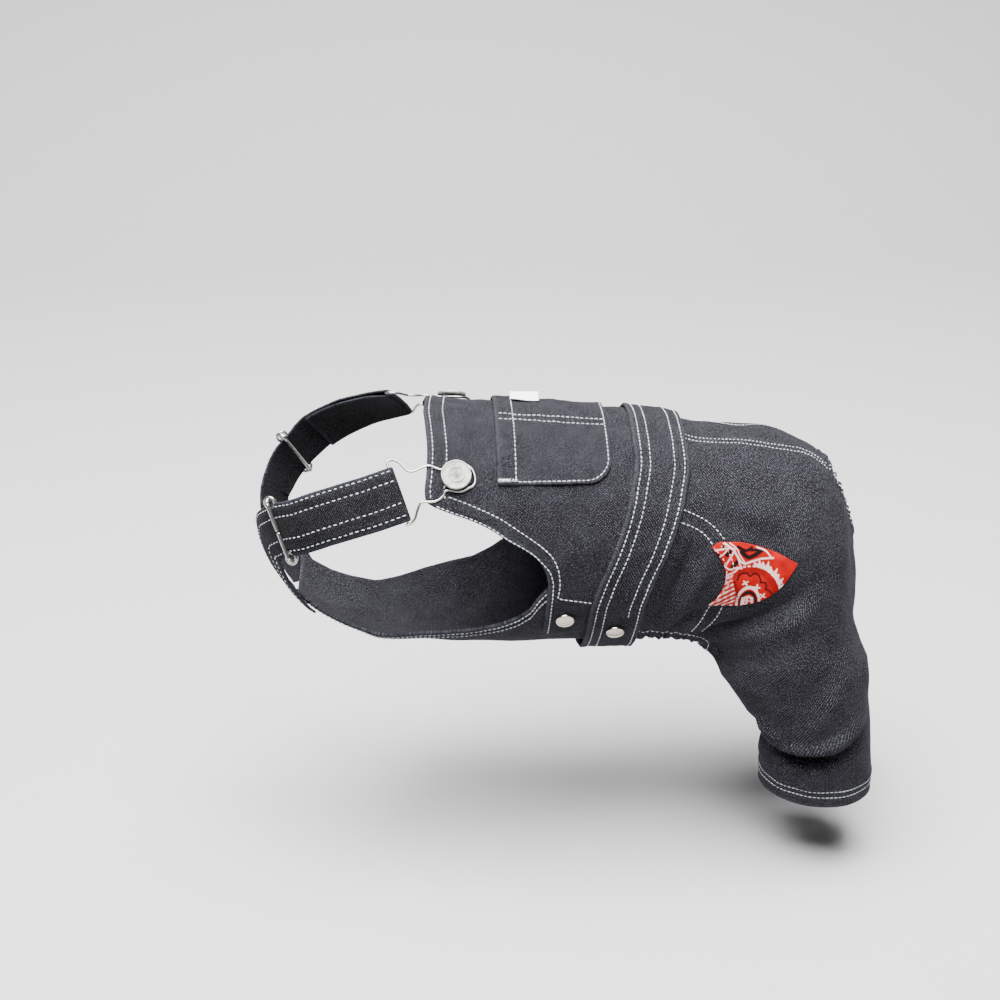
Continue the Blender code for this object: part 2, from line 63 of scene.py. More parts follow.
STRAP_RETURN = 0.052
SLIDER_WIRE = 0.0022
SLIDER_LENGTH = 0.0365
SLIDER_FROM_LOOP = 0.0700
HOOK_WIRE = 0.0013
HOOK_LENGTH = 0.045
HOOK_WIDTH = 0.028
BUTTON_DIAMETER = 0.0160
BUTTON_CAP = 0.0022
BUTTON_SHANK = 0.0040
BUTTON_ARC = 38.5
BUTTON_FROM_FRONT = 0.016
SNAP_DIAMETER = 0.0100
SNAP_HEIGHT = 0.0020
SNAP_FRONT_FROM_WAIST = 0.052
SNAP_FRONT_ANGLE = 117.5
SNAP_REAR_FROM_WAIST = 0.0247
SNAP_REAR_ANGLE = 125.0
PATCH_LENGTH = 0.045
PATCH_HEIGHT = 0.036
PATCH_CLOTH = 0.0010
PATCH_HOLLOW = 0.008
PATCH_FROM_WAIST = 0.0245
PATCH_DROP = 0.0485

# The look's own sizes
MM = 0.001
THREAD = 0.00063
STITCH_PITCH = 0.0026
STITCH_GROOVE = 0.00035
TWILL_PITCH = 0.00104
WORN_EDGE = 0.0011
BIB_HEM = 0.0098
BIB_FRONT_ARC = 49.5
ARM_HEM = 0.0052
ARM_HEM_ARC = (50.0, 92.0)
PANEL_HEM = 0.0066
PANEL_SHOWN = -0.49
POCKET_HEM = 0.0094
POCKET_INSET = 0.0011
CUFF_HEM = 0.0112
CASING = 0.0052
GATHER_PITCH = 0.0050
TAIL_GATHER_PITCH = 0.0048
CREASE_LIMIT = 0.0078
BACK_SEAM_AWAY = 0.0135
BELLY_LINE_INSET = 0.0078
LABEL_ANGLE = 13.0
LABEL_TURN = 7.0
RING_RADIUS = 0.0029
FLOOR_HEIGHT = -0.249

# Body sections under the cloth: station, centre height, half height, half width
BODY = (
    (-1.724, -0.339, 0.008, 0.008), (-1.716, -0.339, 0.094, 0.110), (-1.696, -0.339, 0.181, 0.203),
    (-1.656, -0.339, 0.276, 0.288), (-1.600, -0.346, 0.362, 0.356), (-1.520, -0.358, 0.441, 0.419),
    (-1.440, -0.378, 0.476, 0.458), (-1.320, -0.406, 0.512, 0.492), (-1.200, -0.433, 0.535, 0.513),
    (-1.000, -0.449, 0.530, 0.517), (-0.672, -0.469, 0.524, 0.521), (-0.320, -0.484, 0.512, 0.513),
    (0.000, -0.500, 0.500, 0.500), (0.240, -0.543, 0.488, 0.492), (0.480, -0.535, 0.480, 0.475),
    (0.800, -0.535, 0.472, 0.424),
)

# Turn of the worn cloth round the body: station, share of BIB_TWIST
TWIST = ((-1.0, 1.0), (-0.67, 0.9), (-0.32, 0.7), (0.0, 0.4), (0.5, 0.0))

# Front edge of the bib, down each armhole: angle, station
BIB_EDGE = (
    (0.0, -0.995), (12.0, -0.988), (25.0, -0.982), (38.0, -0.988), (46.0, -0.996), (50.0, -0.992),
    (51.8, -0.965), (54.5, -0.900), (57.4, -0.816), (61.2, -0.736), (67.0, -0.653), (72.4, -0.570),
    (77.0, -0.525), (83.0, -0.497), (89.0, -0.487), (98.0, -0.490), (110.0, -0.495), (123.0, -0.500),
)

# Forward lean of the waistband: angle from its top, share of BAND_LEAN
LEAN = (
    (0.0, 0.03), (32.0, 0.03), (47.0, 0.13), (61.0, 0.27), (77.0, 0.50), (94.0, 0.78), (107.0, 0.91),
    (133.0, 0.97), (180.0, 1.00),
)

# Seat sections, waist to crotch: place, back x, back z, front x, front z, half width, front end angle
SEAT = (
    (0.0, 0.009, -0.002, -0.232, -1.050, 1.000, 136.0),
    (1.0, 0.232, -0.055, -0.071, -1.050, 0.992, 137.0),
    (2.0, 0.468, -0.074, 0.071, -1.050, 0.985, 140.0),
    (3.0, 0.680, -0.116, 0.155, -1.050, 0.985, 145.0),
    (4.0, 0.826, -0.203, 0.200, -1.050, 1.000, 151.0),
    (5.0, 0.925, -0.339, 0.223, -1.050, 1.034, 158.0),
    (6.0, 0.978, -0.508, 0.237, -1.050, 1.085, 165.0),
    (7.0, 1.004, -0.702, 0.246, -1.058, 1.136, 172.0),
    (8.0, 1.010, -0.893, 0.265, -1.058, 1.186, 180.0),
)
CROTCH = 8.0
THIGH = 9.0
HEM = 15.0

# Leg sections, thigh to hem: place, back x, back z, front x, front z, width, spacing
LEGS = (
    (9.0, 1.033, -0.624, 0.335, -0.660, 1.172, 0.900),
    (10.0, 1.054, -0.712, 0.393, -0.707, 1.138, 0.950),
    (11.0, 1.071, -0.780, 0.482, -0.776, 1.069, 0.975),
    (12.0, 1.080, -0.829, 0.571, -0.824, 1.000, 0.988),
    (13.0, 1.089, -0.888, 0.558, -0.883, 1.000, 1.000),
    (14.0, 1.098, -0.951, 0.567, -0.946, 1.000, 1.000),
    (15.0, 1.098, -1.000, 0.571, -0.995, 1.000, 1.013),
)
TAIL_ROWS = (4.2, 6.1)
INNER_ARC = 80.0

# Belly panel, waist to chest: station, half angle round the belly
PANEL = (
    (-0.10, 76.0), (-0.32, 76.0), (-0.45, 78.0), (-0.488, 80.0), (-0.53, 74.0), (-0.56, 67.0), (-0.61, 61.0),
    (-0.69, 55.0), (-0.776, 50.0), (-0.88, 47.0), (-1.00, 43.0), (-1.12, 38.0), (-1.24, 34.0), (-1.34, 32.0),
    (-1.44, 31.0), (-1.52, 32.0), (-1.57, 33.0),
)

# Strap route, hook loop to chest: place, station, angle, share of BIB_TWIST
STRAP = (
    (0.0, -1.100, 47.5, 1.00), (1.0, -1.200, 52.8, 0.93), (2.0, -1.349, 62.0, 0.80),
    (3.0, -1.440, 68.5, 0.70), (4.0, -1.520, 76.0, 0.60), (5.0, -1.600, 83.5, 0.50),
    (6.0, -1.644, 93.0, 0.40), (7.0, -1.672, 105.0, 0.30), (8.0, -1.676, 117.0, 0.20),
    (9.0, -1.660, 132.0, 0.10), (10.0, -1.616, 150.0, 0.00), (11.0, -1.540, 162.4, 0.00),
)

# Hook wire round the button: share of HOOK_LENGTH, share of HOOK_WIDTH
HOOK = (
    (-0.785, -0.195), (-0.730, -0.230), (-0.678, -0.220), (-0.620, -0.150), (-0.564, -0.054),
    (-0.509, -0.032), (-0.440, -0.075), (-0.380, -0.132), (-0.311, -0.171), (-0.244, -0.143),
    (-0.187, -0.110), (-0.130, -0.125), (-0.050, -0.195), (0.040, -0.235), (0.130, -0.220),
    (0.195, -0.120), (0.222, 0.050), (0.198, 0.165), (0.135, 0.225), (0.075, 0.280), (0.000, 0.290),
    (-0.070, 0.275), (-0.124, 0.300), (-0.149, 0.386), (-0.196, 0.457), (-0.253, 0.500), (-0.320, 0.512),
    (-0.389, 0.521), (-0.424, 0.579), (-0.449, 0.686), (-0.475, 0.820), (-0.525, 0.920), (-0.585, 0.950),
)

# Hip patch outline from front to back: place along, top, bottom
PATCH = (
    (0.00, 0.07, 1.00), (0.10, 0.00, 1.02), (0.28, 0.00, 1.03), (0.48, 0.05, 0.96), (0.66, 0.13, 0.86),
    (0.83, 0.22, 0.68), (1.00, 0.33, 0.36),
)

# Stitch lines on the bib's left side: x mm, angle
ARM_INNER = (
    (-113.2, 57.7), (-102, 60.9), (-86.6, 66.4), (-76.4, 71.9), (-66.1, 77.9), (-60.9, 81.9), (-57.8, 86.1),
    (-56.1, 91.4), (-55.5, 96.5), (-56.5, 104),
)
PLACKET_LINE = ((-55.8, 103.6), (-39.3, 105.9), (-25.8, 108.5), (-10.5, 112.1))

# Stitches along the armhole's edge: angles, mm behind the edge, degrees below it
ARM_EDGE = (
    ((51.5, 54.5, 57.4, 61.2, 67.0, 72.4, 77.0), 1.4, 1.2),
    ((83.0, 89.0, 98.0, 110.0, 121.0), 1.9, 0.3),
)

# Stitch lines' distances from an edge, and the rows across the pocket: first and last angle
BIB_HEM_LINES = (0.0021, 0.0093)
POCKET_MOUTH_LINE = 0.0090
POCKET_ROWS = ((2.2, 4.6), (6.6, 9.0))
BACK_SEAM_LINES = (0.0, 0.0032)
CUFF_LINES = (0.0066, 0.0102)
PANEL_LINES = (0.0020, 0.0062)
STRAP_LINES = (0.0015, 0.0070)

# How the stitches differ from the plain ones
BAR_TACK = {"pitch": 0.01, "gap": 0.02, "size": 0.0010, "rise": 0.7}
TACK_COVER = {"pitch": 0.0016, "gap": 0.05, "size": 0.0016, "rise": 0.8}
BACK_SEAM = {"pitch": 0.0021, "gap": 0.26}
TAIL_EDGE = {"pitch": 0.0024}
BELLY_EDGE = {"pitch": 0.0028}
CUFF = {"pitch": 0.0024, "gap": 0.1, "size": 0.0005}
PATCH_SEAM = {"size": 0.0006}
STRAP_SEAM = {"pitch": 0.0032, "gap": 0.3, "size": 0.00062}

# Colours of the cloths: warp's darks and lights, weft dots, worn edges; and of the threads: light, dark
DENIM = ((0.0012, 0.0011, 0.0015), (0.0075, 0.0073, 0.0096), (0.105, 0.104, 0.121), (0.038, 0.038, 0.047))
STRAP_DENIM = (
    (0.0010, 0.0010, 0.0012), (0.0050, 0.0050, 0.0058), (0.062, 0.062, 0.068), (0.034, 0.035, 0.048),
)
WHITE_THREAD = ((0.50, 0.52, 0.54), (0.28, 0.30, 0.32))
PINK_THREAD = ((0.55, 0.42, 0.40), (0.38, 0.12, 0.11))

# Stitch lines on the waistband: mm from its middle, last angle
BAND_LINES = ((-10.9, 180.0), (-6.2, 180.0), (6.4, 111.0), (11.7, 180.0))

# Stitch lines on each side of the trousers: x mm, z mm
FRONT_POCKET = (
    ((4.2, -29.4), (16.1, -34.6), (25.8, -41.2), (31.5, -47.5)),
    ((3.0, -35.8), (13.7, -39.8), (20.7, -44.5), (25.0, -49.8)),
)
FRONT_SEAM = (
    ((27.3, -82.8), (24.5, -89.5), (21.0, -97.5), (17.6, -106.0)),
    ((33.6, -82.4), (31.5, -89.5), (28.0, -97.5), (23.4, -107.0)),
)
PATCH_LINES = (
    ((28.2, -46.2), (33.0, -53.0), (36.0, -62.0), (33.6, -72.0), (28.0, -81.5)),
    ((24.8, -50.2), (29.8, -56.0), (32.6, -63.0), (31.4, -71.5)),
)

# Folds of the trousers on each side: x mm, z mm, half width mm, height mm
FOLDS = (
    ((56.0, -151.5, 2.0, 2.6), (63.2, -160.0, 2.6, 5.6), (72.0, -166.0, 3.0, 6.6), (85.9, -166.0, 3.4, 6.0),
     (102.1, -161.0, 4.2, 3.4), (112.0, -151.0, 4.5, 0.8)),
    ((54.0, -161.0, 2.8, -4.0), (65.4, -171.0, 3.4, -6.0), (77.4, -175.5, 3.7, -7.0),
     (92.0, -175.5, 3.9, -6.0), (105.7, -170.0, 4.2, -3.2), (114.0, -161.0, 4.0, -0.8)),
    ((13.8, -48.0, 3.6, -1.4), (8.6, -67.0, 4.0, -4.0), (2.2, -80.9, 3.8, -4.2), (-3.0, -93.4, 3.5, -3.0)),
    ((23.0, -54.2, 4.0, 0.9), (17.4, -71.3, 3.8, 2.6), (11.8, -85.8, 3.6, 3.0), (6.8, -97.5, 3.0, 2.2)),
    ((8.0, -98.0, 3.5, -2.4), (19.0, -90.6, 4.0, -3.0), (31.0, -86.6, 4.5, -2.2), (44.0, -80.0, 5.0, -0.8)),
    ((26.0, -106.2, 3.0, -3.0), (40.6, -98.2, 4.0, -3.8), (60.1, -87.2, 4.6, -3.2), (80.7, -71.0, 5.0, -1.2)),
    ((34.0, -111.5, 3.2, 1.4), (51.6, -102.7, 3.8, 1.7), (71.1, -92.2, 4.4, 1.2), (86.7, -79.0, 5.0, 0.4)),
    ((36.0, -122.0, 4.0, -1.3), (55.0, -116.0, 5.5, -1.45), (74.0, -104.0, 6.5, -1.16)),
    ((80.5, -163.4, 5.0, 0.43), (88.0, -150.1, 5.0, 1.89), (94.5, -135.6, 5.5, 1.74),
     (98.8, -115.2, 6.0, 0.58)),
    ((72.0, -158.0, 5.0, -0.43), (79.0, -142.0, 6.0, -1.45), (85.0, -124.0, 6.5, -1.16)),
    ((18.0, -33.0, 4.0, -0.43), (34.0, -39.0, 5.0, -1.16), (52.0, -47.0, 6.0, -1.59),
     (66.0, -50.0, 6.0, -0.58)),
    ((30.0, -22.0, 6.0, 0.43), (50.0, -34.0, 8.0, 1.16), (68.0, -52.0, 8.0, 1.3), (82.0, -78.0, 8.0, 0.72)),
    ((62.0, -186.0, 4.0, 0.43), (80.0, -190.5, 4.5, 1.3), (100.0, -187.5, 4.5, 0.72)),
)

# The print's inks
INKS = {
    "red": (0.29, 0.0015, 0.0012),
    "deep": (0.14, 0.0008, 0.0008),
    "white": (0.60, 0.42, 0.40),
    "black": (0.006, 0.0025, 0.0025),
}

# The print's forms, in mm on the patch: x back and z down from its front top corner
RAY_CENTRE = (20.5, 29.0)
# Leaves on the ring: angle, reach past the ring
RAYS = ((14, 1.6), (24, 3.0), (33, 2.2), (41, 3.4), (50, 2.0), (58, 3.8), (66, 2.6), (73, 3.4), (80, 1.6))
SCALLOP = (
    (13.9, 20.6), (14.4, 18.2), (16.3, 16.4), (18.6, 16.4), (20.5, 18.2), (22.4, 16.7), (24.6, 17.6),
    (26.0, 20.2), (26.2, 21.8), (28.4, 21.9), (29.3, 23.6), (28.9, 25.4), (30.7, 26.2), (32.6, 28.6),
)
# Small crosses: x, z, lean in radians
CROSSES = ((18.2, 22.0, 0.2), (24.4, 24.6, 0.9), (27.6, 29.4, 1.4))
ARCH_PLACE = (20.5, 33.6)
ARCH_HALF_WIDTH = 5.9
ARCH_HEIGHT = 9.4

# The print's strokes: ink, then the width and the places of each
STROKES = (
    ("black", (
        (1.5, ((13.5, 2.2), (18.0, 4.3), (20.9, 3.0))),
        (2.2, ((15.6, 4.9), (19.6, 7.9), (22.0, 7.0), (26.0, 4.6))),
        (1.3, ((20.5, 4.2), (26.6, 4.3))),
        (1.9, ((7.6, 6.3), (9.4, 4.6))),
        (2.2, ((11.0, 12.7), (13.3, 10.4))),
        (1.1, ((5.4, 1.6), (7.2, 4.2))),
        (1.0, ((3.0, 5.4), (5.2, 7.8))),
    )),
    ("white", (
        (0.8, ((0.4, 4.0), (4.6, 3.4), (9.1, 2.8), (12.0, 3.2))),
        (1.0, ((6.6, 0.4), (11.0, 3.6), (13.0, 6.6), (15.4, 10.2), (17.6, 11.4))),
        (0.6, ((9.2, 0.2), (12.8, 3.0), (14.6, 6.6), (17.4, 10.6))),
        (0.95, ((17.6, 11.4), (21.6, 9.9), (26.9, 8.8), (32.4, 8.9))),
        (0.8, ((23.5, 2.9), (28.2, 5.0), (31.4, 8.8))),
        (0.85, ((11.8, 3.9), (9.1, 8.6), (7.1, 12.2))),
        (0.8, ((6.2, 12.0), (9.6, 14.3), (13.8, 13.3))),
        (0.8, ((8.2, 17.6), (11.8, 15.9), (14.6, 13.3))),
        (0.7, ((13.1, 6.4), (14.7, 11.2), (15.8, 14.0))),
        (0.6, ((3.6, 7.8), (6.4, 5.2), (8.0, 3.2))),
    )),
)

# Turned outlines: share of the radius, share of the height
BUTTON_TURN = (
    (0.00, 0.90), (0.09, 0.89), (0.13, 0.84), (0.16, 0.80), (0.30, 0.79), (0.42, 0.79), (0.45, 0.82),
    (0.48, 0.88), (0.51, 0.88), (0.54, 0.82), (0.58, 0.79), (0.70, 0.79), (0.84, 0.79), (0.88, 0.82),
    (0.91, 0.89), (0.95, 0.88), (0.985, 0.76), (1.00, 0.50), (0.99, 0.20), (0.94, 0.04), (0.90, 0.00),
)
SNAP_TURN = (
    (0.00, 0.98), (0.20, 0.97), (0.40, 0.93), (0.58, 0.86), (0.70, 0.78), (0.76, 0.70), (0.80, 0.70),
    (0.84, 0.82), (0.89, 0.88), (0.94, 0.84), (0.98, 0.70), (1.00, 0.50), (1.00, 0.10),
    (0.97, 0.0), (0.0, 0.0),
)

_read = {}


def curve(place, table, column):
    """Reads a column of a table between its rows, on a smooth curve that never overshoots."""
    key = (table, column)
    if key not in _read:
        at = np.array([row[0] for row in table], float)
        value = np.array([row[column] for row in table], float)
        step = np.diff(at)
        rise = np.diff(value) / step
        before = np.concatenate([rise[:1], rise])
        after = np.concatenate([rise, rise[-1:]])
        product = before * after
        safe = np.where(before + after == 0, 1, before + after)
        slope = np.where(product > 0, 2 * product / safe, 0)
        t = np.linspace(0, 1, 33)[None, :-1]
        h = step[:, None]
        shape = (
            value[:-1, None] * (2 * t**3 - 3 * t**2 + 1)
            + slope[:-1, None] * h * (t**3 - 2 * t**2 + t)
            + value[1:, None] * (3 * t**2 - 2 * t**3)
            + slope[1:, None] * h * (t**3 - t**2)
        )
        fine = np.append((at[:-1, None] + h * t).ravel(), at[-1])
        _read[key] = (fine, np.append(shape.ravel(), value[-1]))
    return np.interp(place, *_read[key])


def smooth(low, high, value):
    t = np.clip((value - low) / (high - low), 0, 1)
    return t * t * (3 - 2 * t)


def bell(near, width, power=2):
    """A rise that falls off with distance."""
    return np.exp(-(near / width) ** power)


def unit(v):
    return v / np.maximum(np.linalg.norm(v, axis=-1, keepdims=True), 1e-12)


def lengths(line, axis=0):
    """Distances along lines of points from their first."""
    steps = np.linalg.norm(np.diff(line, axis=axis), axis=-1)
    return np.insert(np.cumsum(steps, axis=axis), 0, 0.0, axis=axis)


def read_line(line, run, at):
    """Points of a line at distances along it, where run is each given point's distance."""
    return np.stack([np.interp(at, run, line[:, i]) for i in range(line.shape[1])], -1)


def spread(step, line, *others):
    """Points evenly along a line, and likewise for the values that go with them."""
    run = lengths(line)
    at = np.linspace(0, run[-1], max(2, int(run[-1] / step) + 1))
    return [read_line(values, run, at) for values in (line, *others)]


def spline(rows, count=60):
    """A smooth line through the rows of a short table."""
    rows = np.asarray(rows, float)
    run = lengths(rows)
    table = tuple((float(t), *map(float, row)) for t, row in zip(run, rows))
    t = np.linspace(0, run[-1], count)
    return np.stack([curve(t, table, i + 1) for i in range(rows.shape[1])], -1)


def body(x, angle):
    """Points of the body under the cloth."""
    x, angle = np.broadcast_arrays(np.asarray(x, float), np.asarray(angle, float))
    station = x / BACK_LENGTH
    centre = curve(station, BODY, 1) * BODY_HEIGHT
    height = curve(station, BODY, 2) * BODY_HEIGHT
    width = curve(station, BODY, 3) * BODY_WIDTH
    turn = np.radians(angle)
    return np.stack([x, -width * np.sin(turn), centre + height * np.cos(turn)], -1)


def outward(x, angle):
    along = unit(body(x + BACK_LENGTH / 500, angle) - body(x - BACK_LENGTH / 500, angle))
    around = unit(body(x, angle + 0.2) - body(x, angle - 0.2))
    return unit(np.cross(around, along))


def skin(x, angle, lift=0.0):
    """Points at a height over the body."""
    out = outward(x, angle)
    return body(x, angle) + out * np.broadcast_to(lift, out.shape[:-1])[..., None]


def on_body(x, angle, lift=CLOTH):
    """A line over the body, with its outward directions."""
    return skin(x, angle, lift), outward(x, angle)


def arc(angle):
    """The length of an angle round the body."""
    return np.radians(angle) * BODY_HEIGHT / 2


def twist(x):
    return BIB_TWIST * curve(x / BACK_LENGTH, TWIST, 1)


def band_middle(angle):
    return -BAND_LEAN * curve(np.abs((angle - twist(0.0) + 180) % 360 - 180), LEAN, 1)


def bib_edge(angle):
    return curve(np.abs(angle), BIB_EDGE, 1) * BACK_LENGTH


def ripple(points, size, seed, waves=9):
    """Smooth random rises between about -1 and 1, with features of a size in metres."""
    rng = np.random.default_rng(seed)
    ways = unit(rng.normal(size=(waves, 3))) * rng.uniform(0.6, 1.5, (waves, 1)) * 2 * math.pi / size
    phase = rng.uniform(0, 2 * math.pi, waves)
    return np.sin(points @ ways.T + phase).sum(-1) / math.sqrt(waves / 2) / 1.4


def far_from(points, line):
    """Each point's distance from the nearest point of a line."""
    flat, line = points.reshape(-1, 3), np.asarray(line).reshape(-1, 3)
    found = np.full(len(flat), 9.0)
    for start in range(0, len(line), 200):
        gap = np.linalg.norm(flat[:, None, :] - line[None, start:start + 200, :], axis=-1)
        found = np.minimum(found, gap.min(1))
    return found.reshape(points.shape[:-1])


# Surfaces: points, quads, cloth coordinates of each quad's corners
def grid_surface(points, uv, ring=False):
    """A surface from a grid of points; uv has one column more where the grid closes on itself."""
    rows, columns = points.shape[:2]
    r, c = np.meshgrid(np.arange(rows - 1), np.arange(columns if ring else columns - 1), indexing="ij")

    def corners(wide, after):
        low, high = r * wide, (r + 1) * wide
        return np.stack([low + c, low + after, high + after, high + c], -1).reshape(-1, 4)

    uv_corners = corners(uv.shape[1], c + 1)
    return points.reshape(-1, 3), corners(columns, (c + 1) % columns), uv.reshape(-1, 2)[uv_corners]


def weld(surfaces):
    """Several surfaces as one, with the points that meet made one; also gives which points were kept."""
    points = np.concatenate([s[0] for s in surfaces])
    starts = np.cumsum([0] + [len(s[0]) for s in surfaces[:-1]])
    quads = np.concatenate([s[1] + start for s, start in zip(surfaces, starts)])
    uv = np.concatenate([s[2] for s in surfaces])
    places = np.round(points / 2e-6).astype(np.int64)
    _, first, back = np.unique(places, axis=0, return_index=True, return_inverse=True)
    return points[first], back.reshape(-1)[quads], uv, first


def facing(points, quads):
    a, b, c, d = (points[quads[:, i]] for i in range(4))
    return np.cross(c - a, d - b)


def normals(points, quads):
    face = facing(points, quads)
    total = np.zeros_like(points)
    for i in range(4):
        np.add.at(total, quads[:, i], face)
    return unit(total)


def turn_outward(points, quads, uv):
    """Turns the quads so that they face away from the body's middle line."""
    middle = points[quads].mean(1)
    away = middle - np.array([0.0, 0.0, -BODY_HEIGHT / 2])
    away[:, 0] *= 0.2
    if (facing(points, quads) * away).sum() < 0:
        return quads[:, ::-1], uv[:, ::-1]
    return quads, uv


def outer_surface(points, uv, ring=False):
    points, quads, uv = grid_surface(points, uv, ring)
    return points, *turn_outward(points, quads, uv)


def open_edges(quads):
    edges = np.concatenate([np.stack([quads[:, i], quads[:, (i + 1) % 4]], -1) for i in range(4)])
    edges = edges[edges[:, 0] != edges[:, 1]]
    _, first, count = np.unique(np.sort(edges, 1), axis=0, return_index=True, return_counts=True)
    return edges[first[count == 1]]


def add_object(name, points, faces, material):
    """A smooth object from points and faces."""
    mesh = bpy.data.meshes.new(name)
    mesh.from_pydata([tuple(map(float, p)) for p in points], [], faces)
    mesh.shade_smooth()
    mesh.materials.append(material)
    obj = bpy.data.objects.new(name, mesh)
    bpy.context.scene.collection.objects.link(obj)
    return obj


def shell(name, points, quads, uv, thickness, material, lift=0.0, wear_from=None, wear_more=0.0, rim=0.38):
    """A closed sheet of cloth over a surface, with rounded, worn edges; returns it and its outer side."""
    out = normals(points, quads)
    count = len(points)
    thick = np.broadcast_to(thickness, count)
    low = points + out * np.broadcast_to(lift, count)[:, None]
    top = low + out * thick[:, None]
    edges = open_edges(quads)
    push = np.zeros_like(points)
    side = np.cross(points[edges[:, 1]] - points[edges[:, 0]], out[edges[:, 0]])
    np.add.at(push, edges[:, 0], side)
    np.add.at(push, edges[:, 1], side)
    ends = np.unique(edges)
    middle = (top[ends] + low[ends]) / 2 + unit(push[ends]) * (thick[ends] * rim)[:, None]
    spot = np.zeros(count, int)
    spot[ends] = 2 * count + np.arange(len(ends))
    a, b = edges[:, 0], edges[:, 1]
    faces = np.concatenate([
        quads,
        quads[:, ::-1] + count,
        np.stack([b, a, spot[a], spot[b]], -1),
        np.stack([spot[b], spot[a], a + count, b + count], -1),
    ])
    first_uv = np.zeros((count, 2))
    first_uv[quads.reshape(-1)] = uv.reshape(-1, 2)
    rim_uv = np.stack([first_uv[b], first_uv[a], first_uv[a], first_uv[b]], 1)
    all_uv = np.concatenate([uv, uv[:, ::-1], rim_uv, rim_uv])
    near = far_from(points, points[ends] if wear_from is None else wear_from)
    worn = np.clip(bell(near, WORN_EDGE) + wear_more, 0, 1)
    wear = np.concatenate([worn, worn * 0.3, np.ones(len(ends))])
    obj = add_object(name, np.concatenate([top, low, middle]), faces.tolist(), material)
    layer = obj.data.uv_layers.new(name="cloth")
    layer.data.foreach_set("uv", all_uv.reshape(-1).astype(np.float32))
    mark = obj.data.attributes.new("wear", "FLOAT", "POINT")
    mark.data.foreach_set("value", wear.astype(np.float32))
    return obj, BVHTree.FromPolygons(top.tolist(), quads.tolist())


# Thread
def drop(tree, points, out, reach=0.02):
    """Lays points on a surface from outside, against their directions; also gives the surface's normals."""
    found, facing_out = [], []
    for point, way in zip(points, out):
        start, way = Vector(point + way * reach), Vector(-way)
        spot, normal, _, _ = tree.ray_cast(start, way, 3 * reach)
        if spot is None:
            spot, normal, _, _ = tree.find_nearest(Vector(point))
        if normal.dot(way) > 0:
            normal = -normal
        found.append(spot)
        facing_out.append(normal)
    return np.array(found), np.array(facing_out)


class Thread:
    """Collects the stitches of one piece and makes them one object."""

    def __init__(self, seed):
        self.points, self.faces, self.rng = [], [], np.random.default_rng(seed)

    def run(self, line, out, pitch=STITCH_PITCH, gap=0.16, size=THREAD, rise=0.35):
        """Stitches along a line on the cloth, whose outward directions are out."""
        length = lengths(line)
        total = max(1, round(length[-1] / pitch))
        step = length[-1] / total
        for i in range(total):
            start = (i + gap / 2 + self.rng.uniform(-0.05, 0.05)) * step
            stop = (i + 1 - gap / 2 + self.rng.uniform(-0.05, 0.05)) * step
            spots = np.linspace(start, stop, 5)
            self.add(read_line(line, length, spots), unit(read_line(out, length, spots)), size, rise)

    def add(self, centre, up, size, rise):
        """One stitch through five points."""
        sides = 6
        along = unit(centre[-1] - centre[0])
        across = unit(np.cross(up, along))
        lean = self.rng.uniform(-0.06, 0.06) * size
        height = np.array([-0.25, 0.6, 1.0, 0.6, -0.25]) * size * rise
        width = np.array([0.0, 0.86, 1.0, 0.86, 0.0]) * size / 2
        first = len(self.points)
        turn = np.arange(sides) * 2 * math.pi / sides
        self.points.append(centre[0] + up[0] * height[0])
        for k in (1, 2, 3):
            middle = centre[k] + up[k] * height[k] + across[k] * lean * (k - 2)
            wide = np.cos(turn)[:, None] * across[k] * width[k]
            self.points.extend(middle + wide + np.sin(turn)[:, None] * up[k] * width[k] * 0.8)
        self.points.append(centre[4] + up[4] * height[4])
        last = first + 1 + 3 * sides
        for i in range(sides):
            j = (i + 1) % sides
            self.faces.append((first, first + 1 + j, first + 1 + i))
            for k in range(2):
                base = first + 1 + k * sides
                self.faces.append((base + i, base + j, base + j + sides, base + i + sides))
            self.faces.append((last, last - sides + i, last - sides + j))


def sew(name, seed, tree, lines, material, **options):
    """Stitches as one object, along lines of points, outward directions and, where they differ, options."""
    thread = Thread(seed)
    for line, out, *own in lines:
        thread.run(*drop(tree, *spread(0.0009, line, out)), **options, **dict(*own))
    return add_object(name, thread.points, thread.faces, material)


